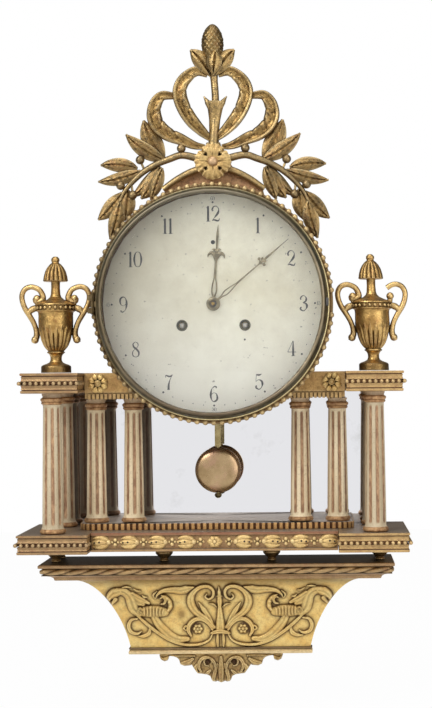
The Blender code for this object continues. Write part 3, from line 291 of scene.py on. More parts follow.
class Finish:
    # a material being put together: each call adds a node or two and returns the main output
    def __init__(self, name, roughness, metallic):
        material = bpy.data.materials.new(name)
        material.use_nodes = True
        self.tree = material.node_tree
        self.set("Roughness", roughness)
        self.set("Metallic", metallic)
        self.place = addNode(self.tree, "TexCoord").outputs["Object"]

    def set(self, key, value):
        feed(self.tree, self.tree.nodes["Principled BSDF"].inputs[key], value)

    def stretched(self, x, y, z):
        return addNode(self.tree, "Mapping", [("Vector", self.place),
                                              ("Scale", (x, y, z))]).outputs["Vector"]

    def noise(self, scale, detail=4.0, rough=0.55, place=None, low=0.35, high=0.65):
        # cloudy values, spread so that low becomes 0 and high becomes 1
        feeds = [("Vector", place or self.place), ("Scale", scale), ("Detail", detail), ("Roughness", rough)]
        return self.span(addNode(self.tree, "TexNoise", feeds).outputs["Fac"], low, high)

    def span(self, value, low, high, start=0.0, end=1.0):
        feeds = [("Value", value), ("From Min", low), ("From Max", high), ("To Min", start), ("To Max", end)]
        return addNode(self.tree, "MapRange", feeds).outputs["Result"]

    def math(self, kind, first, second):
        return addNode(self.tree, "Math", [(0, first), (1, second)], operation=kind).outputs[0]

    def mix(self, share, *colours):
        # the second colour over the first; a colour is three numbers of the photograph, or an output
        first, second = (srgb(*one) if isinstance(one, tuple) else one for one in colours)
        return addNode(self.tree, "Mix", [("Factor", share), (6, first), (7, second)],
                       data_type="RGBA").outputs[2]

    def stained(self, share, amount, first, second):
        return self.mix(self.math("MULTIPLY", share, amount), first, second)

    def hollows(self, distance):
        # 0 in the open and 1 in deep carving
        shade = addNode(self.tree, "AmbientOcclusion", [("Distance", distance)], samples=6, only_local=True)
        return self.span(shade.outputs["AO"], 0.25, 0.95, 1.0, 0.0)

    def surface(self, key):
        return addNode(self.tree, "NewGeometry").outputs[key]

    def part(self, vector, axis):
        return addNode(self.tree, "SeparateXYZ", [(0, vector)]).outputs[axis]

    def ridges(self):
        # 1 on ridges, from the mesh's own curvature, where a highlight is painted
        return self.span(self.surface("Pointiness"), 0.505, 0.555)

    def upward(self):
        # 1 on faces that look up
        return self.span(self.part(self.surface("Normal"), "Z"), 0.75, 0.95)

    def backward(self):
        # up to 0.75 on faces that look at the wall
        return self.span(self.part(self.surface("Normal"), "Y"), 0.05, 0.7, 0.0, 0.75)

    def along(self, axis, start, end, most):
        # 0 at the start, in metres along an axis, and the most at the end
        return self.span(self.part(self.place, axis), start, end, 0.0, most)

    def tone(self):
        return addNode(self.tree, "Attribute", attribute_name="tone").outputs["Fac"]

    def bump(self, height, strength, distance):
        feeds = [("Strength", strength), ("Distance", distance), ("Height", height)]
        self.set("Normal", addNode(self.tree, "Bump", feeds).outputs["Normal"])


def giltFinish(name, light, mid, dark, bole=0.25, metallic=0.6, rough=0.38, top=None, dirtAndShade=0.85,
               marked=(74, 46, 26), ridge=0.25, speck=0.4, left=0.0, high=0.0):
    # leaf gold over red clay: clouded gold, a painted highlight on ridges, red where rubbed, dark dirt in
    # spots, and dirt and painted shade in the carving;
    # tone marks what is painted with another colour and where painted shade lies, and gives a painted
    # highlight where it is below 0, and top is the colour of faces that look up
    made = Finish(name, rough, metallic)
    grain = made.noise(900, 3, 0.6, low=0.3, high=0.7)
    gold = made.mix(made.noise(70, 5, 0.6), mid, light)
    gold = made.stained(grain, 0.3, gold, dark)
    gold = made.stained(made.noise(260, 5, 0.7, low=0.50, high=0.64), speck, gold, dark)
    gold = made.stained(made.noise(120, 6, 0.7, low=0.53, high=0.66), bole, gold, (150, 92, 62))
    # painted highlight on the ridges
    gold = made.stained(made.ridges(), ridge, gold, (250, 228, 176))
    # dirt and painted shade in the carving
    hollowDirtAndShade = made.math("MULTIPLY", made.hollows(0.007), dirtAndShade)
    gold = made.mix(hollowDirtAndShade, gold, (48, 30, 14))
    tone = made.tone()
    # tone above 0 gives the marked colour, other paint or painted shade; tone below 0 gives a painted
    # highlight
    gold = made.mix(tone, gold, marked)
    gold = made.mix(made.span(tone, 0.0, -1.0), gold, (255, 236, 184))
    if top:
        gold = made.mix(made.upward(), gold, top)
    if left:  # painted shade on the drum's left
        gold = made.mix(made.along("X", -0.04, -0.125, left), gold, (70, 54, 34))
    if high:  # painted shade, greyer, towards the drum's top
        gold = made.mix(made.along("Z", 0.37, 0.46, high), gold, (98, 90, 68))
    made.set("Base Color", gold)
    made.set("Roughness", made.span(made.math("ADD", grain, hollowDirtAndShade), 0.0, 2.0, rough - 0.06, rough + 0.3))
    made.bump(made.noise(520, 4, 0.6), 0.35, 0.0004)


def columnFinish(name, shade):
    # old cream paint, with the flutes in rubbed copper colour (tone 1) and the rings gilt (tone 2)
    made = Finish(name, 0.55, 0.0)
    streak = made.noise(60, 5, 0.6, made.stretched(1, 1, 0.12))
    pale, deep = (tuple(shade * v for v in one) for one in ((228, 210, 176), (194, 174, 138)))
    cream = made.mix(streak, deep, pale)
    cream = made.stained(made.noise(420, 3, 0.7, low=0.56, high=0.70), 0.5, cream, (150, 118, 84))
    wearAndShade = made.noise(300, 4, 0.7, made.stretched(1, 1, 0.3), 0.42, 0.66)
    copper = made.mix(wearAndShade, (142, 104, 74), (196, 156, 116))
    gilt = made.mix(made.noise(220, 4), (146, 104, 70), (204, 164, 116))
    tone = made.tone()
    colour = made.mix(made.span(tone, 0.25, 0.75), cream, copper)
    colour = made.mix(made.span(tone, 1.4, 1.7), colour, gilt)
    # painted shade in the hollows
    colour = made.stained(made.hollows(0.006), 0.55, colour, (62, 44, 30))
    colour = made.mix(made.backward(), colour, (78, 68, 58))  # painted shade behind, on faces that look at the wall
    made.set("Base Color", colour)
    made.set("Metallic", made.span(tone, 1.4, 1.7, 0.0, 0.55))
    made.bump(made.noise(500, 4), 0.25, 0.0003)


def silverFinish():
    # silvered dial: pale grey with brown clouds, with painted shade, yellower, to the left and painted light
    # towards the foot
    made = Finish("silveredDial", 0.45, 0.12)
    colour = made.mix(made.noise(9, 6, 0.6, low=0.40, high=0.68), (255, 250, 230), (238, 230, 204))
    colour = made.stained(made.noise(45, 5, 0.65, low=0.4, high=0.75), 0.35, colour, (196, 184, 156))
    colour = made.mix(made.along("X", 0.01, -0.12, 0.65), colour, (156, 144, 118))
    colour = made.mix(made.along("Z", 0.36, 0.235, 0.7), colour, (252, 249, 240))
    colour = made.stained(made.noise(260, 2, 0.5, low=0.70, high=0.76), 0.6, colour, (110, 98, 80))
    made.set("Base Color", colour)
    made.bump(made.noise(700, 2), 0.08, 0.0001)


def metalFinish(name, light, dark, roughness, metallic=0.9, scale=120, stain=None):
    made = Finish(name, roughness, metallic)
    colour = made.mix(made.noise(scale, 5, 0.6), dark, light)
    if stain:
        colour = made.stained(made.noise(35, 5, 0.6, low=0.5, high=0.66), 0.7, colour, stain)
    made.set("Base Color", colour)
    made.set("Roughness", made.span(made.noise(scale * 3, 3, 0.6), 0.0, 1.0, roughness - 0.05,
                                    roughness + 0.08))
    made.bump(made.noise(scale * 6, 3), 0.06, 0.0001)


def bezelFinish():
    # lacquered brass gone grey, with painted shade on the left, at the foot and towards the top
    made = Finish("bezelBrass", 0.34, 0.85)
    colour = made.mix(made.noise(40, 4, 0.6), (126, 112, 88), (158, 144, 118))
    colour = made.mix(made.along("X", -0.05, -0.125, 0.7), colour, (96, 84, 62))
    colour = made.mix(made.along("Z", 0.29, 0.225, 0.8), colour, (96, 82, 66))
    colour = made.mix(made.along("Z", 0.39, 0.46, 0.6), colour, (102, 98, 86))
    made.set("Base Color", colour)
    made.set("Roughness", made.span(made.noise(200, 3, 0.6), 0.0, 1.0, 0.30, 0.40))


def woodFinish(name, light, dark, roughness=0.5, x=6.0, y=60.0, z=60.0):
    # stained pine: grain lines drawn out along one axis
    made = Finish(name, roughness, 0.0)
    grain = made.noise(6, 6, 0.65, made.stretched(x, y, z), 0.38, 0.62)
    colour = made.mix(grain, dark, light)
    colour = made.stained(made.noise(90, 5, 0.65, low=0.5, high=0.7), 0.35, colour, (150, 116, 84))
    made.set("Base Color", colour)
    made.bump(grain, 0.15, 0.0003)


def glassFinish():
    made = Finish("domeGlass", 0.02, 0.0)
    made.set("Transmission Weight", 1.0)
    made.set("IOR", 1.45)
    made.set("Base Color", (0.98, 0.99, 0.985, 1.0))


def mirrorFinish():
    made = Finish("mirrorSilver", 0.03, 1.0)
    made.set("Base Color", made.mix(made.noise(14, 5, 0.6, low=0.60, high=0.80), (240, 240, 243),
                                    (212, 211, 211)))


brownTop = (150, 132, 112)
giltSettings = {
    # light, mid and dark gold of each finish, and where it differs from giltFinish's usual values
    "crestGold": ((186, 152, 92), (132, 104, 58), (52, 35, 15), dict(metallic=0.85, rough=0.3, speck=0.95)),
    "laurelGold": ((152, 120, 70), (102, 79, 43), (42, 28, 12), dict(metallic=0.85, rough=0.3, speck=0.95)),
    "coneGold": ((142, 116, 70), (104, 84, 48), (50, 35, 16), dict(metallic=0.8, rough=0.32, speck=0.6)),
    "bracketGold": ((255, 226, 146), (250, 208, 120), (150, 106, 48),
                    dict(bole=0.25, metallic=0.32, rough=0.3, ridge=0.3, dirtAndShade=0.8, speck=0.3,
                         marked=(82, 54, 20))),
    # the same gilt in a shaded copy for the left blocks and a lit copy for the right ones
    "mouldingGold": ((180, 141, 94), (142, 104, 67), (88, 58, 34),
                     dict(bole=0.6, dirtAndShade=0.6, ridge=0.12, top=brownTop, marked=(92, 54, 32))),
    "mouldingBright": ((216, 177, 114), (178, 138, 84), (98, 66, 36),
                       dict(bole=0.6, dirtAndShade=0.6, ridge=0.12, top=brownTop, marked=(104, 62, 34))),
    "urnGold": ((234, 194, 120), (180, 140, 80), (84, 58, 28),
                dict(bole=0.4, metallic=0.88, rough=0.3, dirtAndShade=0.95, marked=(58, 36, 18))),
    "beadGold": ((228, 194, 134), (176, 142, 90), (72, 52, 28), dict(bole=0.4, metallic=0.65, left=0.55)),
    "seatGold": ((146, 110, 60), (102, 76, 40), (50, 36, 20), dict(bole=0.5, left=0.7)),
    "saddleGold": ((232, 188, 136), (204, 156, 112), (120, 82, 54),
                   dict(bole=0.7, metallic=0.25, rough=0.5, speck=0.8, ridge=0.0, dirtAndShade=0.2)),
    "rimBrass": ((248, 234, 176), (222, 202, 140), (110, 90, 54),
                 dict(bole=0.1, left=0.85, speck=0.2, high=0.75)),
    "slabGold": ((182, 142, 92), (148, 108, 66), (90, 60, 36),
                 dict(bole=0.6, metallic=0.45, rough=0.44, top=brownTop, marked=(134, 80, 66), ridge=0.1)),
    "chainGold": ((248, 214, 142), (214, 174, 104), (124, 88, 44),
                  dict(bole=0.35, metallic=0.45, ridge=0.35)),
    "stepGold": ((228, 178, 108), (196, 144, 84), (120, 80, 46),
                 dict(bole=0.5, metallic=0.3, rough=0.4, top=(196, 182, 166), marked=(96, 58, 28),
                      ridge=0.1)),
    "footGold": ((186, 152, 98), (140, 108, 66), (62, 44, 26), dict(bole=0.5, metallic=0.75, rough=0.3)),
    "beamGold": ((210, 170, 106), (170, 132, 78), (102, 70, 38), dict(bole=0.4, top=brownTop, ridge=0.12)),
    "rosetteGold": ((255, 220, 142), (226, 180, 100), (100, 66, 26),
                    dict(metallic=0.5, rough=0.3, dirtAndShade=0.95, marked=(92, 58, 24))),
    "bossGold": ((220, 180, 140), (186, 142, 106), (112, 76, 52), dict(bole=0.6, rough=0.4)),
    "flowerGold": ((226, 194, 130), (184, 150, 92), (92, 66, 32), dict(speck=0.5, marked=(46, 32, 16))),
    "shelfGold": ((198, 160, 112), (160, 124, 86), (94, 66, 44),
                  dict(bole=0.5, metallic=0.45, rough=0.45, top=(90, 80, 64), ridge=0.08)),
    "ropeGold": ((196, 158, 104), (150, 116, 74), (76, 52, 30),
                 dict(bole=0.5, dirtAndShade=1.0, marked=(50, 32, 18), ridge=0.2)),
    "railGold": ((244, 218, 168), (210, 182, 132), (112, 86, 50), dict(bole=0.3)),
    "pendantGold": ((222, 188, 122), (168, 136, 82), (64, 46, 24), dict(bole=0.3, speck=0.5, dirtAndShade=0.95)),
}
metalSettings = {
    # light and dark colour, roughness, and where given metallic, the scale of clouds and a stain
    "bezelDark": ((106, 100, 76), (62, 58, 42), 0.42, 0.7),
    "hingeBrass": ((128, 108, 74), (88, 72, 46), 0.4, 0.7),
    "movementBrass": ((196, 162, 92), (158, 124, 62), 0.34),
    "movementSteel": ((130, 130, 132), (84, 84, 88), 0.3),
    "arborSteel": ((206, 200, 188), (158, 152, 142), 0.3),
    "handMetal": ((158, 145, 116), (108, 98, 76), 0.4, 0.6),
    "bobBrass": ((196, 168, 128), (150, 124, 86), 0.27, 0.9, 30, (196, 154, 130)),
    "rodBrass": ((190, 172, 124), (148, 130, 86), 0.3, 0.85),
    "nutBrass": ((112, 98, 64), (70, 58, 36), 0.4, 0.8),
    "dialInk": ((84, 81, 78), (58, 56, 54), 0.6, 0.0),
    "drillDark": ((70, 46, 24), (40, 26, 14), 0.7, 0.0),
}
woodSettings = {
    # light and dark colour, roughness, and where given how the grain is drawn out
    "drumWood": ((126, 90, 56), (80, 54, 34), 0.5, 60, 6, 60),
    "backWood": ((168, 128, 84), (116, 82, 52), 0.6),
}
for name, (light, mid, dark, more) in giltSettings.items():
    giltFinish(name, light, mid, dark, **more)
for name, values in metalSettings.items():
    metalFinish(name, *values)
for name, values in woodSettings.items():
    woodFinish(name, *values)
# the same cream paint in a shaded copy for the front and rear columns and a lit copy for the middle and
# inner ones
columnFinish("columnPaint", 0.93)
columnFinish("columnPale", 1.09)
silverFinish()
bezelFinish()
glassFinish()
mirrorFinish()
print("materials made")


# Dial: numerals drawn with strokes of changing width, dots and marks

numeralStrokes = {
    # each stroke: points in a box one unit high, and half widths along it
    "0": [([(0, 1), (-0.15, 0.9), (-0.23, 0.5), (-0.15, 0.1), (0, 0)], [0.012, 0.05, 0.066, 0.05, 0.012]),
          ([(0, 1), (0.15, 0.9), (0.23, 0.5), (0.15, 0.1), (0, 0)], [0.012, 0.05, 0.066, 0.05, 0.012])],
    "1": [([(0, 0), (0, 0.5), (0, 1)], [0.07, 0.066, 0.062]),
          ([(-0.13, 0.9), (-0.06, 0.93), (0, 1)], [0.012, 0.012, 0.02]),
          ([(-0.13, 0.012), (0, 0.012), (0.13, 0.012)], [0.014, 0.018, 0.014])],
    "2": [([(-0.14, 0.74), (-0.19, 0.70), (-0.21, 0.78), (-0.12, 0.96), (0.06, 0.99), (0.21, 0.82),
            (0.16, 0.55),
            (-0.04, 0.28), (-0.22, 0.05)], [0.05, 0.055, 0.03, 0.014, 0.03, 0.075, 0.06, 0.02, 0.014]),
          ([(-0.22, 0.05), (-0.08, 0.10), (0.08, 0.05), (0.2, 0.05), (0.27, 0.2)],
           [0.014, 0.045, 0.055, 0.04, 0.012])],
    "3": [([(-0.15, 0.78), (-0.19, 0.76), (-0.17, 0.88), (0, 1), (0.17, 0.86), (0.15, 0.64), (-0.05, 0.53)],
           [0.05, 0.045, 0.02, 0.02, 0.06, 0.05, 0.012]),
          ([(-0.05, 0.53), (0.17, 0.46), (0.22, 0.24), (0.02, 0), (-0.19, 0.1), (-0.18, 0.22), (-0.13, 0.2)],
           [0.012, 0.05, 0.07, 0.02, 0.03, 0.05, 0.05])],
    "4": [([(0.08, 1), (-0.1, 0.6), (-0.27, 0.27)], [0.014, 0.014, 0.014]),
          ([(-0.27, 0.26), (0, 0.26), (0.28, 0.26)], [0.02, 0.016, 0.02]),
          ([(0.09, 0.98), (0.09, 0.5), (0.09, 0)], [0.03, 0.062, 0.066]),
          ([(-0.04, 0.012), (0.09, 0.012), (0.22, 0.012)], [0.014, 0.018, 0.014])],
    "5": [([(-0.17, 0.98), (-0.19, 0.75), (-0.2, 0.5)], [0.016, 0.014, 0.014]),
          ([(-0.17, 0.95), (0, 0.93), (0.18, 1)], [0.04, 0.055, 0.012]),
          ([(-0.2, 0.5), (-0.03, 0.62), (0.19, 0.5), (0.2, 0.22), (0.02, 0), (-0.19, 0.09), (-0.2, 0.2),
            (-0.14, 0.2)],
           [0.012, 0.016, 0.06, 0.07, 0.02, 0.03, 0.05, 0.05])],
    "6": [([(0.15, 0.88), (0.17, 0.93), (0.05, 1), (-0.15, 0.82), (-0.22, 0.4), (-0.14, 0.08), (0, 0),
            (0.17, 0.1), (0.21, 0.3),
            (0.14, 0.52), (0, 0.58), (-0.14, 0.5), (-0.2, 0.34)],
            [0.045, 0.04, 0.014, 0.05, 0.07, 0.05, 0.014, 0.05, 0.066, 0.05, 0.014, 0.014, 0.012])],
    "7": [([(-0.22, 0.8), (-0.2, 0.95), (-0.06, 0.9), (0.08, 0.88), (0.24, 1)],
           [0.012, 0.03, 0.055, 0.045, 0.012]),
          ([(0.24, 1), (0.08, 0.68), (-0.01, 0.36), (-0.03, 0)], [0.012, 0.022, 0.056, 0.075])],
    "8": [([(0, 1), (-0.16, 0.88), (-0.13, 0.68), (0.05, 0.52), (0.2, 0.32), (0.17, 0.09), (0, 0)],
           [0.014, 0.04, 0.06, 0.062, 0.06, 0.04, 0.014]),
          ([(0, 1), (0.15, 0.88), (0.13, 0.68), (-0.04, 0.54), (-0.2, 0.32), (-0.17, 0.09), (0, 0)],
           [0.014, 0.03, 0.02, 0.012, 0.03, 0.035, 0.014])],
}
numeralStrokes["9"] = [([(-x, 1 - z) for x, z in points], widths) for points, widths in numeralStrokes["6"]]
dialSettings = {
    "face": -105.05, "ink": 0.06, "numeralHeight": 17.5, "numeralRadius": 103.0, "dotRadius": 116.2,
    "smallHeight": 4.2, "smallRadius": 120.6, "windingX": 36.0, "windingDrop": 24.5, "hourDot": 1.15,
    "minuteDot": 0.55, "holes": [(0.0, 70.5, 2.4), (35.6, -41.0, 1.1)],  # holes, as dark discs of painted shade: across, up, radius
}


def numeral(text, height, x, z):
    # the figures of a number side by side, each stroke a thin flat strip of ink
    face, ink = dialSettings["face"], dialSettings["ink"]
    room = {"1": 0.36}
    widths = [room.get(letter, 0.60) for letter in text]
    start = -sum(widths) / 2
    strips = []
    for letter, wide in zip(text, widths):
        middle = start + wide / 2
        start += wide
        for points, halves in numeralStrokes[letter]:
            placed = [(x + (px + middle) * height, z + (pz - 0.5) * height) for px, pz in points]
            strips.append(flatBar(placed, [half * height for half in halves], face - ink, face, 26))
    return strips


def dialPlace(reach, minute):
    # where a minute lies on a circle of the dial
    turn = math.radians(6 * minute)
    return reach * math.sin(turn), dialZ + reach * math.cos(turn)


def dialSpot(size, steps, x, z):
    spot = [(0, 0.05), (size, 0.05), (size, -0.04), (0, -0.04)]
    return turnedForm(spot, steps, x, dialSettings["face"], z, "y")


def dialMarks():
    s = dialSettings
    shells = []
    for hour in range(1, 13):
        shells += numeral(str(hour), s["numeralHeight"], *dialPlace(s["numeralRadius"], 5 * hour))
    for minute in (15, 30, 45, 60):
        shells += numeral(str(minute), s["smallHeight"], *dialPlace(s["smallRadius"], minute))
    for minute in range(60):
        size = s["hourDot"] if minute % 5 == 0 else s["minuteDot"]
        shells.append(dialSpot(size, 10, *dialPlace(s["dotRadius"], minute)))
    # dark discs of painted shade where the dial is pierced
    for x, z, size in s["holes"]:
        shells.append(dialSpot(size, 16, x, dialZ + z))
    return makePiece("dial_marks", shells, "dialInk")


def windingEyes():
    # sinkings round the winding squares, dark with painted shade
    ring = [(3.6, 0.4), (5.3, 0.4), (6.5, -0.1), (6.3, -0.6), (5.2, -0.4), (3.7, -0.1), (3.6, 0.4)]
    x, z = dialSettings["windingX"], dialZ - dialSettings["windingDrop"]
    shells = [turnedForm(ring, 32, side * x, -105.0, z, "y") for side in sideNames]
    return makePiece("winding_eyes", shells, "bezelDark")


dialMarks()
windingEyes()


# Hands: pierced near the hub, with a leaf crown on the hour hand and a flower on the minute hand

handSettings = {"hourAngle": 4.0, "minuteAngle": 49.7, "hourY": -106.85, "minuteY": -110.25, "half": 0.45}


def handStem(y, rails, blade):
    half = handSettings["half"]
    shells = [roundBar([(x * side, z) for x, z in rails[0]], rails[1], y, half / max(rails[1]), 24,
                       8) for side in (-1, 1)]
    shells.append(roundBar(blade[0], blade[1], y, half / max(blade[1]), 40, 8))
    return shells


def hubDisc(y, radius, bore):
    # a turned hub with two fine rings
    half = handSettings["half"]
    front = [(bore, -half), (bore + 1.2, -half - 0.3), (radius * 0.55, -half), (radius * 0.62, -half - 0.25),
             (radius * 0.72, -half), (radius * 0.9, -half), (radius, -half * 0.4)]
    return turnedForm(front + [(radius, half), (bore, half), (bore, -half)], 40, 0, y, 0, "y")


def hourHand():
    y = handSettings["hourY"]
    shells = handStem(y, ([(0.6, 7.5), (2.5, 14), (2.2, 22), (0.5, 31)], [0.9, 0.8, 0.75, 0.7]),
                      ([(0, 29), (0, 48), (0, 64), (0, 79), (0, 82), (0, 90.5)],
                       [1.6, 1.25, 1.2, 1.0, 1.5, 0.25]))
    shells.append(hubDisc(y, 8.0, 5.75))
    shells.append(roundBar([(0, 48), (0, 54), (0, 62)], [1.0, 4.2, 1.0], y, 0.11, 20, 8))
    for side in sideNames:
        shells.append(roundBar([(0, 52), (4.5 * side, 58), (8.6 * side, 56), (9.6 * side, 52.6)],
                               [1.2, 2.3, 1.7, 0.4], y, 0.2, 24, 8))
        shells.append(roundBar([(0, 58), (2.8 * side, 62.5), (5.2 * side, 61.5)], [0.9, 1.3, 0.4], y, 0.3,
                               16, 8))
    shells = [shifted(spunInPlane(shell, handSettings["hourAngle"]), z=dialZ) for shell in shells]
    return makePiece("hour_hand_cut", shells, "handMetal", "hour", ["hour_hand"])


def minuteHand():
    y = handSettings["minuteY"]
    shells = handStem(y, ([(0.5, 7.0), (0.7, 13), (2.3, 19), (1.9, 26), (0.4, 36)],
                          [0.9, 0.7, 0.65, 0.6, 0.6]),
                      ([(0, 34), (0, 66), (0, 84), (0, 86), (0, 98), (0, 113.5)],
                       [1.15, 0.85, 0.75, 1.3, 0.6, 0.2]))
    shells.append(hubDisc(y, 7.0, 3.75))
    for angle in (-75, -25, 25, 75):
        turn = math.radians(angle)
        reach = (4.6 * math.sin(turn), 72.0 + 4.6 * math.cos(turn))
        shells.append(roundBar([(0, 71), reach], [0.6, 0.5], y, 0.6, 6, 6))
        shells.append(turnedForm([(0, -0.45), (1.2, -0.35), (1.75, 0), (1.2, 0.35), (0, 0.45)], 14,
                                 reach[0], y, reach[1], "y"))
    shells.append(turnedForm([(0, -0.5), (1.5, -0.4), (2.0, 0), (1.5, 0.4), (0, 0.5)], 16, 0, y, 71.5, "y"))
    shells = [shifted(spunInPlane(shell, handSettings["minuteAngle"]), z=dialZ) for shell in shells]
    return makePiece("minute_hand_cut", shells, "handMetal", "minute", ["minute_hand"])


hourHand()
minuteHand()
print("dial and hands made")


# Bezel, glass, bead ring and drum

bezelSettings = {"steps": 160, "outer": 132.5, "opening": 123.5, "rear": -118.6, "front": -140.0}
beadSettings = {"count": 90, "radius": 3.3, "ring": 135.5, "y": -116.0, "inner": 127.5, "outer": 137.4,
                "front": -118.0,
                "rear": -112.3}
drumSettings = {"radius": 131.0, "wall": 3.0, "front": -112.0, "rear": -14.0, "slotHalf": 21.0,
                "slotY": (-57.0, -37.0)}


def bezelRing():
    outer, opening, rear, front = (bezelSettings[key] for key in ("outer", "opening", "rear", "front"))
    band = [(outer, rear), (outer, rear - 3), (outer - 0.7, rear - 3.8), (outer - 1.6, rear - 9.5),
            (outer - 2.6, rear - 13),
            (outer - 4.0, front + 3.2), (outer - 4.6, front + 2.6)]
    ridge = [(outer - 4.6, front + 2.6), (outer - 4.9, front + 1.2), (outer - 5.8, front + 0.2),
             (outer - 6.8, front),
             (outer - 7.8, front + 0.5), (opening + 0.6, front + 1.6), (opening + 0.2, front + 3.2),
             (opening, front + 5.5)]
    rearSide = [(opening, front + 5.5), (126.1, front + 5.6), (126.1, rear - 6), (128.5, rear),
                (outer, rear)]
    steps = bezelSettings["steps"]
    bright = turnedForm(ridge + rearSide[1:4] + [(outer - 4.6, front + 2.6)], steps, z=dialZ, along="y")
    inside = turnedForm(band + rearSide[2:4][::-1] + [(outer, rear)], steps, z=dialZ, along="y")
    makePiece("bezel_band", [inside], "bezelDark", "bezel", sharp=50)
    turns = np.linspace(0, 2 * math.pi, 9)
    rim = [(outer - 0.9 + 1.05 * math.cos(t), rear - 4.1 + 1.05 * math.sin(t)) for t in turns]
    makePiece("bezel_rim", [turnedForm(rim, steps, z=dialZ, along="y")], "rimBrass", "bezel")
    ring = makePiece("bezel_lip", [bright], "bezelBrass", "bezel", ["bezel_ring"], sharp=50)
    knuckle = turnedForm([(1.5, -3.5), (2.8, -3.5), (2.8, 3.5), (1.5, 3.5), (1.5, -3.5)], 24, -136.2,
                         -122.2, dialZ)
    leaf = rectangleStack([(-136.0, -131.4, -123.4, -121.0, dialZ - 3.0),
                           (-136.0, -131.4, -123.4, -121.0, dialZ + 3.0)])
    makePiece("bezel_knuckle", [knuckle, leaf], "hingeBrass", "bezel")
    return ring


def bezelCatch():
    # slot of the catch at three o'clock: a dark block of painted shade
    slot = rectangleStack([(128.6, 131.2, -136.6, -124.0, dialZ - 4.6),
                           (128.6, 131.9, -137.2, -124.0, dialZ - 4.0),
                           (128.6, 131.9, -137.2, -124.0, dialZ + 4.0),
                           (128.6, 131.2, -136.6, -124.0, dialZ + 4.6)])
    return makePiece("bezel_catch", [slot], "dialInk", "bezel")


def bezelGlass():
    # a shallow dome with two skins: its height falls with the square of the radius
    radius = np.linspace(0, 125.5, 26)
    front = -134.4 - 9.7 * np.clip(1 - (radius / 122.6) ** 2, 0, 1)
    skin = [(r, y) for r, y in zip(radius, front)]
    inside = [(r, y + 1.9) for r, y in zip(radius, front)][::-1]
    return makePiece("bezel_dome", [turnedForm(skin + inside, 128, z=dialZ, along="y")], "domeGlass",
                     "bezel", ["bezel_glass"])


def beadRing():
    turn = np.linspace(0, 2 * math.pi, beadSettings["count"], endpoint=False)
    turn = turn[np.abs(turn - math.pi / 2) >= 0.065]  # none beside the catch
    ring = beadSettings["ring"]
    centres = places(ring * np.sin(turn), beadSettings["y"], dialZ + ring * np.cos(turn))
    inner, outer, front, rear = (beadSettings[key] for key in ("inner", "outer", "front", "rear"))
    seat = [(inner, rear), (outer - 1.2, rear), (outer - 0.4, rear - 1.0), (outer - 1.2, rear - 2.4),
            (outer - 3.4, rear - 2.6), (outer - 4.4, front), (inner, front), (inner, rear)]
    makePiece("bead_ring_seat", [turnedForm(seat, 160, z=dialZ, along="y")], "seatGold")
    return makePiece("bead_ring_carved", [beads(centres, beadSettings["radius"], 7, 10)], "beadGold",
                     replaces=["bead_ring"])


def drumShell():
    # the drum's wall and its ledge behind the dial; the pendulum's slot is left out of the two skins of
    # the wall
    outer = drumSettings["radius"]
    inner = outer - drumSettings["wall"]
    front, rear = drumSettings["front"], drumSettings["rear"]
    low, high = drumSettings["slotY"]
    half = math.asin(drumSettings["slotHalf"] / outer)
    turn = np.concatenate([np.linspace(math.pi + half, 3 * math.pi - half, 150),
                           np.linspace(3 * math.pi - half, 3 * math.pi + half, 9)[1:-1]])
    loop = [(inner, rear), (outer, rear), (outer, high), (outer, low), (outer, front), (inner, front),
            (inner, -103.2), (121.0, -103.2),
            (121.0, -99.5), (inner, -99.5), (inner, low), (inner, high)]
    shape = np.asarray(loop)
    table = places(shape[:, :1] * np.sin(turn), shape[:, 1:], dialZ + shape[:, :1] * np.cos(turn))
    points, quads = grid(table, wrapRows=True, wrapColumns=True)
    quads = quads.reshape(len(loop), len(turn), 4)
    keep = np.ones(quads.shape[:2], bool)
    inSlot = np.arange(len(turn)) >= 149
    keep[2, inSlot] = False
    keep[10, inSlot] = False
    index = np.arange(len(points)).reshape(len(loop), len(turn))
    edge = np.append(index[2, 149:], index[2, 0]), np.append(index[3, 149:], index[3, 0])
    back = np.append(index[11, 149:], index[11, 0]), np.append(index[10, 149:], index[10, 0])
    walls = [np.stack([a[:-1], a[1:], b[1:], b[:-1]], -1) for a, b in zip(edge, back)]
    ends = np.array([[index[2, k], index[3, k], index[10, k], index[11, k]] for k in (149, 0)])
    quads = np.concatenate([quads[keep]] + walls + [ends])
    return makePiece("drum_case", [(points, quads)], "drumWood", replaces=["drum_shell"])


bezelRing()
bezelCatch()
bezelGlass()
beadRing()
drumShell()
print("bezel and drum made")


# Columns: fluted shafts in cream paint with copper flutes, between gilt rings

columnSettings = {
    "flutes": 8, "fluteDepth": 1.3, "steps": 128, "gap": 0.3,
    "places": {  # x on the right, y, the heights of foot and head, and the paint
        "front": (183.3, -119.0, "baseTop", "beamFoot", "columnPaint"),
        "rear": (183.3, -33.0, "baseTop", "beamFoot", "columnPaint"),
        "middle": (141.3, -62.0, "stepTop", "dentilFoot", "columnPale"),
        "inner": (97.7, -62.0, "stepTop", "dentilFoot", "columnPale"),
    },
}


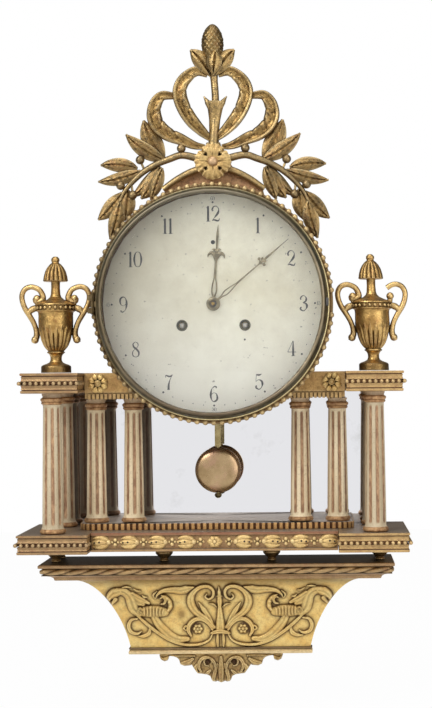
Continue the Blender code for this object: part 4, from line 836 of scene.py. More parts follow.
def columnShape(foot, head):
    # from the foot: base torus and rings, tapering shaft, neck rings and a spreading capital; tone picks
    # the paint
    low, high = foot + columnSettings["gap"], head - columnSettings["gap"]
    base = [(0, low, 2), (12.8, low, 2), (14.4, low + 1.0, 2), (14.8, low + 2.6, 2), (14.2, low + 4.4, 2),
            (13.2, low + 5.2, 2),
            (12.9, low + 5.6, 0), (12.4, low + 6.6, 0), (12.1, low + 7.6, 0)]
    neck = [(10.2, high - 13.6, 0), (10.4, high - 12.8, 0), (11.2, high - 12.2, 2), (12.1, high - 11.2, 2),
            (12.1, high - 10.2, 2),
            (11.4, high - 9.4, 2), (12.2, high - 8.6, 2), (13.0, high - 7.2, 2), (12.8, high - 5.8, 2),
            (11.6, high - 4.9, 2),
            (10.7, high - 4.4, 0.5), (10.5, high - 3.2, 0.5), (11.2, high - 1.6, 0.5), (11.4, high, 0.5),
            (0, high, 0.5)]
    rise = np.linspace(0, 1, 30)[1:-1]
    start, end = low + 7.6, high - 13.6
    shaft = [(12.1 - 1.9 * share ** 1.2, start + share * (end - start), 0) for share in rise]
    return np.array(base + shaft + neck), start, end


def fluted(x, y, foot, head):
    shape, start, end = columnShape(foot, head)
    turn = np.linspace(0, 2 * math.pi, columnSettings["steps"], endpoint=False)[None]
    phase = (turn * columnSettings["flutes"] / (2 * math.pi) + 0.25) % 1.0
    channel = np.exp(-((phase - 0.5) / 0.245) ** 4)
    z = shape[:, 1:2]
    inside = np.clip((z - start) / 2.0, 0, 1) * np.clip((end - z) / 2.0, 0, 1)
    radius = shape[:, :1] - columnSettings["fluteDepth"] * channel * inside
    table = places(x + radius * np.cos(turn), y + radius * np.sin(turn), z)
    return tinted(grid(table, wrapColumns=True),
                  np.where(shape[:, 2:3] > 0, shape[:, 2:3], channel * inside))


for side, name in sideNames.items():
    for place, (x, y, foot, head, paint) in columnSettings["places"].items():
        makePiece(f"column_shaft_{name}_{place}", [fluted(side * x, y, heights[foot], heights[head])], paint,
                  replaces=[f"column_{name}_{place}"])
print("columns made")


# Base: beaded end blocks, slab with a husk chain, dentilled step, turned feet

blockSettings = {"inner": 141.0, "outer": 220.5, "front": -142.0, "pitch": 6.4, "bead": 2.3,
                 "return": -121.0}
headSettings = {"inner": 150.6, "outer": 214.9, "front": -142.0, "pitch": 6.4, "bead": 2.3, "return": -96.0}


def beadedBlock(name, size, foot, height, side, node):
    # from the foot: edge, red line, cove, fillet, dark channel with a row of beads, and the same again
    # upwards;
    # each step is a share of the height, how far it stands out and its tone
    inner, outer, front = size["inner"], size["outer"], size["front"]
    steps = [(0.0, -0.8, 0), (0.03, 0.0, 0), (0.13, 0.0, 0), (0.145, -1.3, 0.8), (0.175, -1.3, 0.8),
             (0.19, -0.5, 0),
             (0.25, -1.0, 0), (0.32, -1.0, 0), (0.37, -0.3, 0), (0.395, -0.3, 0), (0.405, -2.2, 0.8),
             (0.585, -2.2, 0.8),
             (0.595, -0.3, 0), (0.625, -0.3, 0), (0.67, -0.9, 0), (0.75, -1.1, 0), (0.82, -0.5, 0),
             (0.835, -1.3, 0.8),
             (0.865, -1.3, 0.8), (0.88, 0.4, 0), (0.97, 0.6, 0), (1.0, -0.2, 0)]
    levels = [(inner - min(o, 0), outer + o, front - o, 0.0, foot + share * height) for share, o,
              tone in steps]
    tones = [steps[0][2]] + [tone for share, o, tone in steps] + [0]
    shell = tinted(rectangleStack(levels), np.repeat(tones, 4))
    z = foot + 0.495 * height
    out = 3.6 - size["bead"]
    row = np.linspace(inner + 0.8, outer + out, 1 + round((outer - inner) / size["pitch"]))
    sideRow = np.arange(front - out, -3.0, size["pitch"])[1:]
    back = np.arange(front - out, size["return"], size["pitch"])[1:]
    rows = [places(row, front - out, z), places(outer + out, sideRow, z), places(inner + 0.8, back, z)]
    # the beads a little paler: a painted highlight
    shells = [shell, tinted(beads(np.concatenate(rows), size["bead"], 6, 10), -0.15)]
    if side < 0:
        shells = [flipped(shell) for shell in shells]
    # the left blocks take the shaded copy of the gilt and the right ones the lit copy
    return makePiece(name, shells, "mouldingGold" if side < 0 else "mouldingBright", replaces=[node])


for side, name in sideNames.items():
    beadedBlock(f"base_end_{name}", blockSettings, heights["baseFoot"], 21.7, side, f"base_block_{name}")
    beadedBlock(f"head_end_{name}", headSettings, heights["beamFoot"], 22.9, side,
                f"entablature_block_{name}")

slabSettings = {"half": 140.5, "front": -113.0, "edge": -117.0, "huskPitch": 32.4, "huskLength": 21.5,
                "groundY": -113.2}


def baseSlab():
    # two fillets with a sunk band between them for the chain; the upper fillet is marked red
    half, front, edge = slabSettings["half"], slabSettings["front"], slabSettings["edge"]
    foot, top = heights["baseFoot"] + 0.2, heights["baseTop"]
    rows = [(foot, edge + 0.8), (foot + 0.8, edge), (foot + 2.4, edge), (foot + 3.0, front),
            (top - 3.6, front), (top - 3.0, edge + 0.6),
            (top - 0.6, edge + 0.6), (top, edge + 1.2)]
    shell = rectangleStack([(-half, half, y, 0.0, z) for z, y in rows])
    red = np.clip((shell[0][:, 2] - (top - 3.2)) * 2, 0, 0.7)
    return makePiece("base_slab_moulded", [tinted(shell, red)], "slabGold", replaces=["base_slab"])


def husk(x, z, side):
    # a full bell of three broad petals opening away from the middle, on a round calyx
    y = slabSettings["groundY"]
    size = slabSettings["huskLength"]
    near, far = x - side * size * 0.5, x + side * size * 0.5
    shells = [carvedLeaf((near + side * 2, z), (far, z), 4.0, y - 0.8, 4.2, vein=0.05, blunt=1.1, rib=0.06)]
    for up in sideNames:
        shells.append(carvedLeaf((near + side * 1.0, z + up * 1.0), (far - side * 1.5, z + up * 4.0), 3.9,
                                 y - 0.2, 3.8,
                                 bend=up * side * 2.2, vein=0.05, blunt=1.0, rib=0.06))
    shells.append(beads([(near + side * 2.2, y - 1.0, z)], 3.3, 8, 12))
    return shells


def huskChain():
    z = heights["baseFoot"] + 10.9
    y = slabSettings["groundY"]
    shells, drillShades = [], []
    for side in sideNames:
        for k in range(1, 5):
            x = side * slabSettings["huskPitch"] * k
            shells += husk(x, z, side)
            drillShades += [(x + side * 1.5, y - 4.9, z + 0.3), (x + side * 7.0, y - 3.9, z - 0.4)]
            berry = x - side * slabSettings["huskPitch"] / 2
            shells.append(beads([(berry, y - 1.0, z - 2.7), (berry, y - 1.0, z + 2.7)], 2.4, 6, 10))
            shells.append(beads([(berry - 3.2, y - 0.6, z), (berry + 3.2, y - 0.6, z)], 1.7, 6, 10))
    for k in range(6):
        turn = 2 * math.pi * k / 6
        tip = (8.6 * math.cos(turn), z + 6.6 * math.sin(turn))
        shells.append(carvedLeaf((0, z), tip, 3.9, y - 0.3, 3.4, vein=0.05, blunt=1.3, rib=0.1))
    shells.append(beads([(0, y - 2.6, z)], 2.4, 6, 10))
    # dark balls of painted shade in the drilled holes
    makePiece("husk_drill_shades", [beads(drillShades, 1.15, 6, 10)], "drillDark")
    return makePiece("husk_chain", shells, "chainGold")


baseSlab()
huskChain()

stepSettings = {"half": 160.0, "front": -85.0, "rear": -12.6, "corner": 18.0, "pitch": 6.8, "cut": 2.2}


def roundedPlan(half, front, rear, corner, count):
    # plan of a board with rounded front corners, from the rear left to the rear right, evenly spaced
    quarter = np.linspace(0, math.pi / 2, 12)
    left = np.stack([-half + corner - corner * np.cos(quarter), front + corner - corner * np.sin(quarter)],
                    -1)
    plan = np.vstack([[(-half, rear)], left, left[::-1] * [-1, 1], [(half, rear)]])
    path, along = evenly(plan, count)
    return path, -leftOf(path), along


def dentilledStep():
    # a board whose edge is cut into small blocks from top to bottom: the edge steps in and out along its
    # length
    path, outward, along = roundedPlan(stepSettings["half"] - 0.2, stepSettings["front"] + 0.2,
                                       stepSettings["rear"], stepSettings["corner"], 1100)
    wave = (along / stepSettings["pitch"]) % 1.0
    gap = 1 / (1 + np.exp((np.abs(wave - 0.5) - 0.19) / 0.012))
    foot, top = heights["baseTop"] + 0.3, heights["stepTop"]
    rows = []
    for z, inset in ((foot, -0.2), (foot + 0.5, 0.0), (top - 0.6, 0.0), (top, -0.5)):
        flat = path + outward * (inset - stepSettings["cut"] * gap)[:, None]
        rows.append(places(flat[:, 0], flat[:, 1], z))
    first, last = (places(np.zeros(len(path)), -45.0, z) for z in (foot, top))
    shell = grid(np.stack([first] + rows + [last]), wrapColumns=True)
    # painted shade in the gaps between the blocks
    tone = np.concatenate([0 * gap] + [gap] * 4 + [0 * gap])
    return makePiece("step_dentilled", [tinted(shell, tone)], "stepGold",
                     replaces=["plinth_step"], sharp=30)


dentilledStep()

footSettings = {"places": {"left_front": (-190, -60), "left_inner": (-63, -60), "right_inner": (63, -60),
                           "right_front": (190, -60),
                           "left_rear": (-190, -24), "right_rear": (190, -24)}}


def turnedFeet():
    low, high = heights["shelfTop"] + 0.3, heights["baseFoot"] - 0.3
    side = [(4.6, low), (5.6, low + 0.8), (5.8, low + 2.0), (4.8, low + 3.2), (5.2, low + 4.4),
            (7.4, low + 6.4), (9.6, low + 8.8),
            (10.2, low + 10.6), (9.6, low + 12.2), (8.2, low + 13.4), (8.0, low + 14.2), (9.2, low + 15.0),
            (9.2, high)]
    for name, (x, y) in footSettings["places"].items():
        makePiece(f"foot_turned_{name}", [turnedForm(curveThrough(side, 40), 40, x, y),
                                          turnedForm([(0, low), side[0]], 40, x, y),
                                          turnedForm([side[-1], (0, high)], 40, x, y)], "footGold",
                                          replaces=[f"foot_{name}"])


turnedFeet()
print("base made")


# Entablature: beam with dentils behind the drum, rosettes

beamSettings = {"half": 150.3, "front": -92.0, "drumRadius": 131.3, "drumRear": -13.4, "dentilPitch": 4.8,
                "dentil": 3.1}


def beamHalf():
    # right half of the beam's front, with its end following the drum's circle
    foot, top, front = heights["beamFoot"], heights["beamTop"], beamSettings["front"]
    z = np.linspace(foot, top, 14)
    inner = np.sqrt(np.maximum(beamSettings["drumRadius"] ** 2 - (z - dialZ) ** 2, 0)) + 0.3
    half = beamSettings["half"]
    x = inner[:, None] + (half - inner)[:, None] * np.linspace(0, 1, 10)[None]
    face, back = (places(x, y, z[:, None]) for y in (front, beamSettings["drumRear"]))
    return capped(np.concatenate([face, back[:, ::-1]], 1))


def beamDentils():
    # small blocks in a row under the beam, and the fillet that they hang from
    foot, top = heights["dentilFoot"], heights["beamFoot"]
    half = beamSettings["half"] - 0.5
    shells = []
    room = math.sqrt(beamSettings["drumRadius"] ** 2 - (dialZ - foot) ** 2) + 2.0
    starts = np.arange(room, half - 3.0, beamSettings["dentilPitch"])
    for side in sideNames:
        for x in starts:
            low, high = sorted((side * x, side * (x + beamSettings["dentil"])))
            shells.append(rectangleStack([(low + 0.3, high - 0.3, -92.6, -80.0, foot),
                                          (low, high, -93.0, -80.0, foot + 0.5),
                                          (low, high, -93.0, -80.0, top - 1.4)]))
        low, high = sorted((side * (room + 1.5), side * half))
        shells.append(rectangleStack([(low, high, -91.0, -14.0, foot + 1.0),
                                      (low, high, -91.0, -14.0, top - 0.1)]))
    return shells


def beamPiece():
    half = beamSettings["half"]
    right = beamHalf()
    rear = rectangleStack([(-half, half, -13.6, 0.0, heights["beamFoot"]),
                           (-half, half, -13.6, 0.0, heights["beamTop"])])
    return makePiece("beam_carved", [right, flipped(right), rear] + beamDentils(), "beamGold",
                     replaces=["entablature_beam"])


def rosette(side):
    # eight petals round a boss, on a ground disc painted dark as shade
    x, z, y = side * 134.6, 258.4, -92.3
    # the ground disc behind the petals is dark with painted shade
    shells = [tinted(turnedForm([(0, -0.3), (9.4, -0.3), (9.8, 0.2), (0, 0.2)], 32, x, y, z, "y"), 1.0)]
    for k in range(8):
        turn = 2 * math.pi * (k + 0.5) / 8
        reach = (x + 11.4 * math.cos(turn), z + 11.4 * math.sin(turn))
        near = (x + 3.0 * math.cos(turn), z + 3.0 * math.sin(turn))
        shells.append(carvedLeaf(near, reach, 4.0, y - 0.6, 3.2, blunt=1.5, vein=0.0, rib=0.14, count=14))
    boss = turnedForm([(0, -4.4), (1.6, -4.2), (2.0, -3.4), (2.4, -3.2), (3.6, -2.6), (3.8, -1.0),
                       (0, -0.4)], 20, x, y, z, "y")
    shells.append(tinted(boss, 0.3))
    name = sideNames[side]
    return makePiece(f"rosette_carved_{name}", shells, "rosetteGold", replaces=[f"rosette_{name}"])


beamPiece()
for side in sideNames:
    rosette(side)
print("entablature made")


# Urns: turned bodies with a ribbed cap, a pellet frieze, leaf flutes and scrolled handles

urnSettings = {"x": 184.0, "y": -84.0, "foot": 270.8, "ribs": 14, "leaves": 18, "lean": {-1: 0.0, 1: -0.028}}
urnProfile = [(0, 135.0), (2.6, 134.6), (4.6, 132.4), (4.8, 130.0), (4.0, 128.2), (4.3, 127.4),
              (6.2, 126.0), (9.0, 122.4), (11.4, 117.4),
              (12.9, 112.0), (13.7, 106.8), (13.5, 106.0), (5.4, 105.6), (5.1, 104.4), (5.0, 98.0),
              (5.5, 91.0), (6.6, 88.0), (9.4, 85.4),
              (12.6, 83.8), (17.0, 82.0), (21.0, 80.6), (22.6, 79.6), (22.8, 78.6), (21.6, 77.8),
              (21.6, 73.0), (22.2, 72.4), (22.0, 71.4),
              (20.6, 70.8), (20.1, 69.6), (19.8, 66.0), (20.0, 60.0), (19.8, 55.0), (19.0, 50.0),
              (17.8, 45.0), (16.0, 38.0), (13.6, 32.0),
              (11.0, 28.0), (9.2, 25.6), (9.0, 25.0), (10.2, 24.6), (10.2, 23.4), (9.0, 22.8), (7.4, 21.0),
              (6.5, 18.5), (6.5, 15.0),
              (7.6, 12.6), (10.4, 11.0), (15.0, 9.4), (16.9, 8.0), (17.2, 6.6), (17.3, 0.4), (0, 0.4)]
urnHandle = [(302, 630), (296, 640), (306, 654), (340, 660), (374, 636), (376, 592), (345, 530), (290, 497),
             (232, 488), (172, 514),
             (138, 576), (140, 650), (170, 735), (225, 825), (272, 910), (302, 1000), (304, 1055),
             (292, 1090), (272, 1106), (262, 1100)]


def urnParts(turn, z):
    # where the ribs of the cap and the leaves of the lower body lie, each 0 to 1, with the leaves' arched
    # tops
    cap = np.where((z > 106.4) & (z < 127.0), np.clip((127.0 - z) / 8, 0, 1), 0)
    arch = 57.0 - 10.0 * np.abs(np.sin(turn * urnSettings["leaves"] / 2))
    body = np.where((z > 25.8) & (z < 58.0), np.clip((arch - z) / 2.0, 0,
                                                     1) * np.clip((z - 24.5) / 5, 0, 1), 0)
    return cap, body


def urnRipple(turn, z):
    # ribs swell with a rounded cosine, and so do the leaves, each with a groove along its middle
    cap, body = urnParts(turn, z)
    ribs = np.abs(np.cos(turn * urnSettings["ribs"] / 2)) ** 0.7 - 0.6
    wave = np.cos(turn * urnSettings["leaves"] / 2)
    leaf = np.abs(wave) ** 0.7 - 0.55 - 0.22 * np.exp(-((1 - np.abs(wave)) / 0.03) ** 2)
    return 1.7 * ribs * cap + 2.3 * leaf * body


def urnTone(turn, z):
    # painted shade between ribs and leaves and round the pellets, the cap a little darker, and the foot's
    # edge dark
    cap, body = urnParts(turn, z)
    ribs = np.clip(1 - np.abs(np.cos(turn * urnSettings["ribs"] / 2)) / 0.4, 0, 1) * cap
    leaf = np.clip(1 - np.abs(np.cos(turn * urnSettings["leaves"] / 2)) / 0.3, 0, 1) * body
    frieze = np.where((z > 72.6) & (z < 78.2), 0.55, 0) + np.where(z < 9.0, 0.6, 0) + 0 * turn
    return np.maximum(np.maximum(0.75 * np.maximum(ribs, leaf), 0.28 * (cap > 0)), frieze)


def urnPiece(side):
    x, y, foot = side * urnSettings["x"], urnSettings["y"], urnSettings["foot"]
    rough = np.array(urnProfile)
    fine = np.concatenate([np.linspace(a, b, 4, endpoint=False) for a,
                           b in zip(rough[:-1], rough[1:])] + [rough[-1:]])
    steps = 140
    turn = np.linspace(0, 2 * math.pi, steps, endpoint=False)[None]
    form = turnedForm(fine, steps, x, y, foot, ripple=urnRipple)
    shells = [tinted(form, urnTone(turn, fine[:, 1:2]))]
    turn = np.linspace(0, 2 * math.pi, 22, endpoint=False)
    pellets = places(x + 21.7 * np.cos(turn), y + 21.7 * np.sin(turn), foot + 75.4)
    shells.append(beads(pellets, 2.0, 5, 8))
    handle = [((cx - 527) * 0.0997, (1490 - cy) * 0.0997) for cx, cy in urnHandle]
    widths = [3.8, 4.0, 3.8, 3.4, 3.2, 3.1, 3.1, 3.1, 3.1, 3.1, 3.1, 3.1, 3.2, 3.2, 3.1, 3.0, 3.0, 3.4, 3.7,
              3.4]
    for hand in sideNames:
        points = [(x - hand * px, foot + pz) for px, pz in handle]
        if side > 0 and hand > 0:
            points, trimmed = points[6:], widths[6:]  # the inner scroll of this handle is lost
        else:
            trimmed = widths
        shells.append(roundBar(points, trimmed, y, 0.9, 110, 12))
        # knobs at the scroll's ends, the upper one standing on the shoulder, and the web to the frieze
        shells.append(beads([(x + hand * 24.2, y, foot + 38.6), (x + hand * 21.6, y, foot + 86.2)], 4.4, 9,
                            14))
        neck = [(x + hand * 21.6, foot + 84.0), (x + hand * 20.6, foot + 79.0)]
        shells.append(roundBar(neck, [3.0, 3.4], y, 0.9, 6, 10))
        link = [(x + hand * 31.6, foot + 70.0), (x + hand * 27.0, foot + 74.0),
                (x + hand * 20.5, foot + 76.0)]
        shells.append(roundBar(link, [3.2, 4.0, 3.4], y, 0.9, 14, 10))
    for shell in shells:
        shell[0][:, 0] += urnSettings["lean"][side] * (shell[0][:, 2] - foot)  # the right urn leans in
    name = sideNames[side]
    return makePiece(f"urn_carved_{name}", shells, "urnGold", replaces=[f"urn_{name}"], sharp=45)


for side in sideNames:
    urnPiece(side)
print("urns made")


# Crest: cone and stem, acanthus loops, flower, laurel sprays and the saddle on the drum

crestSettings = {"y": -86.0, "coneTip": 673.2, "coneFoot": 627.0, "coneHalf": 12.6, "coneWide": 650.0}
saddleSettings = {"radius": 131.6, "front": -79.7, "rear": -66.0,
                  "edge": [(60, 470), (57, 481), (43, 491), (26, 500), (14, 524), (0, 526)]}


def crestCone():
    # an egg-shaped bud: its radius follows an ellipse above its widest ring and draws in a little below it,
    # and its skin is ruffled along two crossing spirals into rows of scales
    foot, tip, wide = crestSettings["coneFoot"], crestSettings["coneTip"], crestSettings["coneWide"]
    z = np.linspace(foot, tip, 60)
    above = np.clip((z - wide) / (tip - wide), 0, 1)
    below = np.clip((wide - z) / (wide - foot), 0, 1)
    radius = crestSettings["coneHalf"] * (1 - above ** 2) ** 0.6 * (1 - 0.5 * below ** 2)
    share = (z - foot) / (tip - foot)
    turn = np.linspace(0, 2 * math.pi, 72, endpoint=False)[None]
    rows = share[:, None] * 13
    scale = np.abs(np.cos(turn * 6 + rows * math.pi / 2)) * np.abs(np.cos(turn * 6 - rows * math.pi / 2))
    ripple = 0.9 * (scale - 0.4) * np.sin(math.pi * share)[:, None]
    full = np.maximum(radius[:, None] + ripple * (radius[:, None] > 1),
                      0) * (share < 1)[:, None] * (share > 0)[:, None]
    table = places(full * np.cos(turn), crestSettings["y"] + full * np.sin(turn) * 0.85, z[:, None])
    return grid(table, wrapColumns=True)


def crestStem():
    # the stem leans a little to the right, and a calyx like a trumpet flares from it into two points
    y = crestSettings["y"]
    path = [(0, 530), (1.5, 552), (2.6, 575), (2.8, 590), (1.5, 610), (0.5, 627)]
    shells = [roundBar(path, [6.4, 5.6, 4.6, 4.2, 4.2, 6.0], y, 1.0, 40, 14)]
    trumpet = [(0.8, 542), (1.5, 555), (2.2, 568), (2.6, 577), (2.8, 583.5)]
    shells.append(roundBar(trumpet, [5.4, 6.0, 6.6, 8.4, 11.0], y - 0.6, 0.62, 30, 14))
    for side in sideNames:
        point = [(2.4 + side * 5.4, 574), (2.6 + side * 8.6, 582), (2.8 + side * 13.4, 589.4)]
        shells.append(roundBar(point, [2.6, 3.4, 0.5], y - 1.0, 1.1, 20, 12))
    return shells


def crestScrolls():
    y = crestSettings["y"]
    makePiece("crest_cone", [crestCone()], "coneGold")
    shells = crestStem()
    for side in sideNames:
        shells.append(carvedLeaf((2.0 * side, 611), (25.4 * side, 642.8), 9.4, y - 1.5, 5.6, side * 2.5,
                                 1.2, 0.3, count=30))
    shells.append(carvedLeaf((1.0, 612), (4.0, 641), 8.6, y - 8.0, 5.6, 0, 1.2, 0.3, count=30))
    heart = [(1, 538.7), (12, 548), (25, 562), (34, 577), (38.4, 592), (36, 604), (28, 613.5), (18, 618.5),
             (6, 615)]
    loop = [(10.0, 531.0), (22, 533), (38, 540), (53, 546.5), (64, 556.5), (68.4, 569), (66, 582),
            (58, 590.5), (43, 590)]
    heartWidths = [3.0, 5.8, 7.6, 8.2, 8.4, 8.2, 7.4, 6.0, 4.0]
    loopWidths = [3.0, 5.2, 6.8, 8.0, 8.8, 8.8, 7.6, 5.6, 3.6]
    for side in sideNames:
        heartCut, loopCut = (0.36, 0.58, 0.78), (0.30, 0.50, 0.66, 0.82)
        shells.append(acanthusStrap([(x * side, z) for x, z in heart], heartWidths, y, -side, heartCut, 5.6))
        strap = acanthusStrap([(x * side, z) for x, z in loop], loopWidths, y + 0.6, -side, loopCut, 5.4)
        shells.append(tinted(strap, 0.2))  # the outer loops are duller
        stem = [(10 * side, 507), (26 * side, 502), (43 * side, 493), (58.6 * side, 482)]
        shells.append(roundBar(stem, [4.4, 4.2, 4.0, 3.6], y, 0.95, 26, 12))
    shells.append(roundBar([(0, 500), (0, 512), (0, 536)], [12.0, 13.0, 8.0], y, 0.42, 16, 16))
    return makePiece("crest_scrolls_carved", shells, "crestGold", replaces=["crest_scrolls"])


def crestSaddle():
    # a worn plate that sits on the drum: its foot is the drum's circle, its top edge a smooth curve
    edge = np.array(saddleSettings["edge"])
    x = np.linspace(-edge[0, 0], edge[0, 0], 81)
    foot = dialZ + np.sqrt(saddleSettings["radius"] ** 2 - x ** 2)
    top = np.interp(np.abs(x), edge[::-1, 0], edge[::-1, 1])
    share = np.linspace(0, 1, 8)[None]
    z = foot[:, None] + (top - foot)[:, None] * share
    front = saddleSettings["front"] + 1.2 * np.clip(share - 0.8, 0, 1) / 0.2
    face, back = (places(x[:, None], y, z) for y in (front, saddleSettings["rear"]))
    loop = np.concatenate([face, back[:, ::-1]], 1)
    return makePiece("crest_saddle", [capped(loop)], "saddleGold", replaces=["crest_base"])


def crestFlower():
    # a nearly round flower of four wide petals with frilled rims: the face cups, a fold lies between petals
    # and a small pit in each fold, dark with painted shade
    z0, y0 = heights["flower"], -93.0
    turn = np.linspace(0, 2 * math.pi, 240, endpoint=False)[None]
    share = np.linspace(0, 1, 30)[:, None]
    between = np.abs(np.cos(turn * 2))
    reach = 20.9 * (0.88 + 0.12 * between ** 0.5) * (1 + 0.022 * np.cos(turn * 20))
    radius = share * reach
    cup = 4.2 * np.sin(math.pi * np.clip(share * 0.88, 0, 1)) ** 0.8 + 1.0 * share
    fold = 1.5 * np.exp(-(between / 0.16) ** 2) * np.clip(share - 0.3, 0, 1)
    groove = 0.8 * np.exp(-(np.sin(turn * 2) / 0.16) ** 2) * np.sin(math.pi * share)
    ribs = 0.4 * np.cos(turn * 20) * np.clip(share - 0.35, 0, 1)
    along, across = (share - 0.60) * 20.5, between * radius / 2
    pit = 4.6 * np.exp(-(along ** 2 + across ** 2) / 1.6 ** 2)
    front = np.minimum(y0 - 2.6 - cup + fold + groove + pit - ribs, -92.4)
    face, back = (places(radius * np.sin(turn), y, z0 + radius * np.cos(turn)) for y in (front, -91.2))
    # painted shade in the pits
    dark = np.clip(pit / 3.0, 0, 0.95)
    shell = grid(np.concatenate([face, back[::-1]]), wrapColumns=True)
    shells = [tinted(shell, np.concatenate([dark, dark[::-1]]))]
    boss = turnedForm([(0, -7.2), (3.0, -6.7), (5.2, -5.0), (6.0, -2.6), (5.9, 0.5), (0, 0.8)], 28, 0,
                      y0 - 2.6, z0, "y")
    makePiece("crest_flower_boss", [boss], "bossGold")
    return makePiece("crest_flower_carved", shells, "flowerGold", replaces=["crest_flower"])


laurelBranch = [(12, 515), (20.8, 518.6), (37, 521.6), (50.9, 517.2), (65.9, 511.4), (80.9, 502.6),
                (94.2, 490.6),
                (103.5, 479.6), (108.6, 469.0)]
laurelLeaves = [
    # base, tip, half width, sideways bend, distance behind the branch
    ((57, 517), (80.5, 562.5), 11.6, 3.0, 3.4), ((56, 516), (100.8, 546.0), 8.6, 3.5, 0.6),
    ((88, 507), (130.4, 510.6), 8.2, -2.0, 1.2), ((84, 504), (133.2, 491.4), 7.6, 3.0, -0.6),
    ((106, 479), (133.8, 447.6), 9.0, 2.0, 1.2), ((109, 468), (120.0, 424.6), 9.0, 2.0, -0.4),
    ((99, 482), (103.5, 446.5), 9.4, 1.0, 1.8), ((62, 509), (84.0, 471.5), 10.0, 3.0, 1.0),
    ((59, 507), (72.5, 469.5), 7.4, 0.0, -0.8), ((66, 508), (95.0, 474.0), 7.0, 4.0, 2.4),
]
laurelBerries = [((37, 529.4), (36, 521.5)), ((84.7, 516.4), (80, 505)), ((107.5, 487), (102, 481)),
                 ((93.5, 476), (95, 489))]


def laurelSpray(side):
    y = crestSettings["y"]
    branch = [(x * side, z) for x, z in laurelBranch]
    shells = [roundBar(branch, [4.6, 4.4, 4.2, 4.0, 3.8, 3.6, 3.2, 2.8, 2.0], y, 1.0, 70, 12)]
    for base, tip, half, bend, back in laurelLeaves:
        shells.append(carvedLeaf((base[0] * side, base[1]), (tip[0] * side, tip[1]), half, y + back, 3.6,
                                 -bend * side, 0.9, 0.45, cup=1.0, count=30))
    for place, root in laurelBerries:
        shells.append(roundBar([(root[0] * side, root[1]), (place[0] * side, place[1])], [1.4, 1.4], y, 1.0,
                               8, 8))
        shells.append(tinted(beads([(place[0] * side, y - 0.6, place[1])], 5.2, 10, 16), 0.3))
    name = sideNames[side]
    return makePiece(f"laurel_carved_{name}", shells, "laurelGold", replaces=[f"laurel_{name}"])


crestScrolls()
crestFlower()
crestSaddle()
for side in sideNames:
    laurelSpray(side)
print("crest made")


# Bracket: panel in low relief, rope strip, rail and acanthus pendant

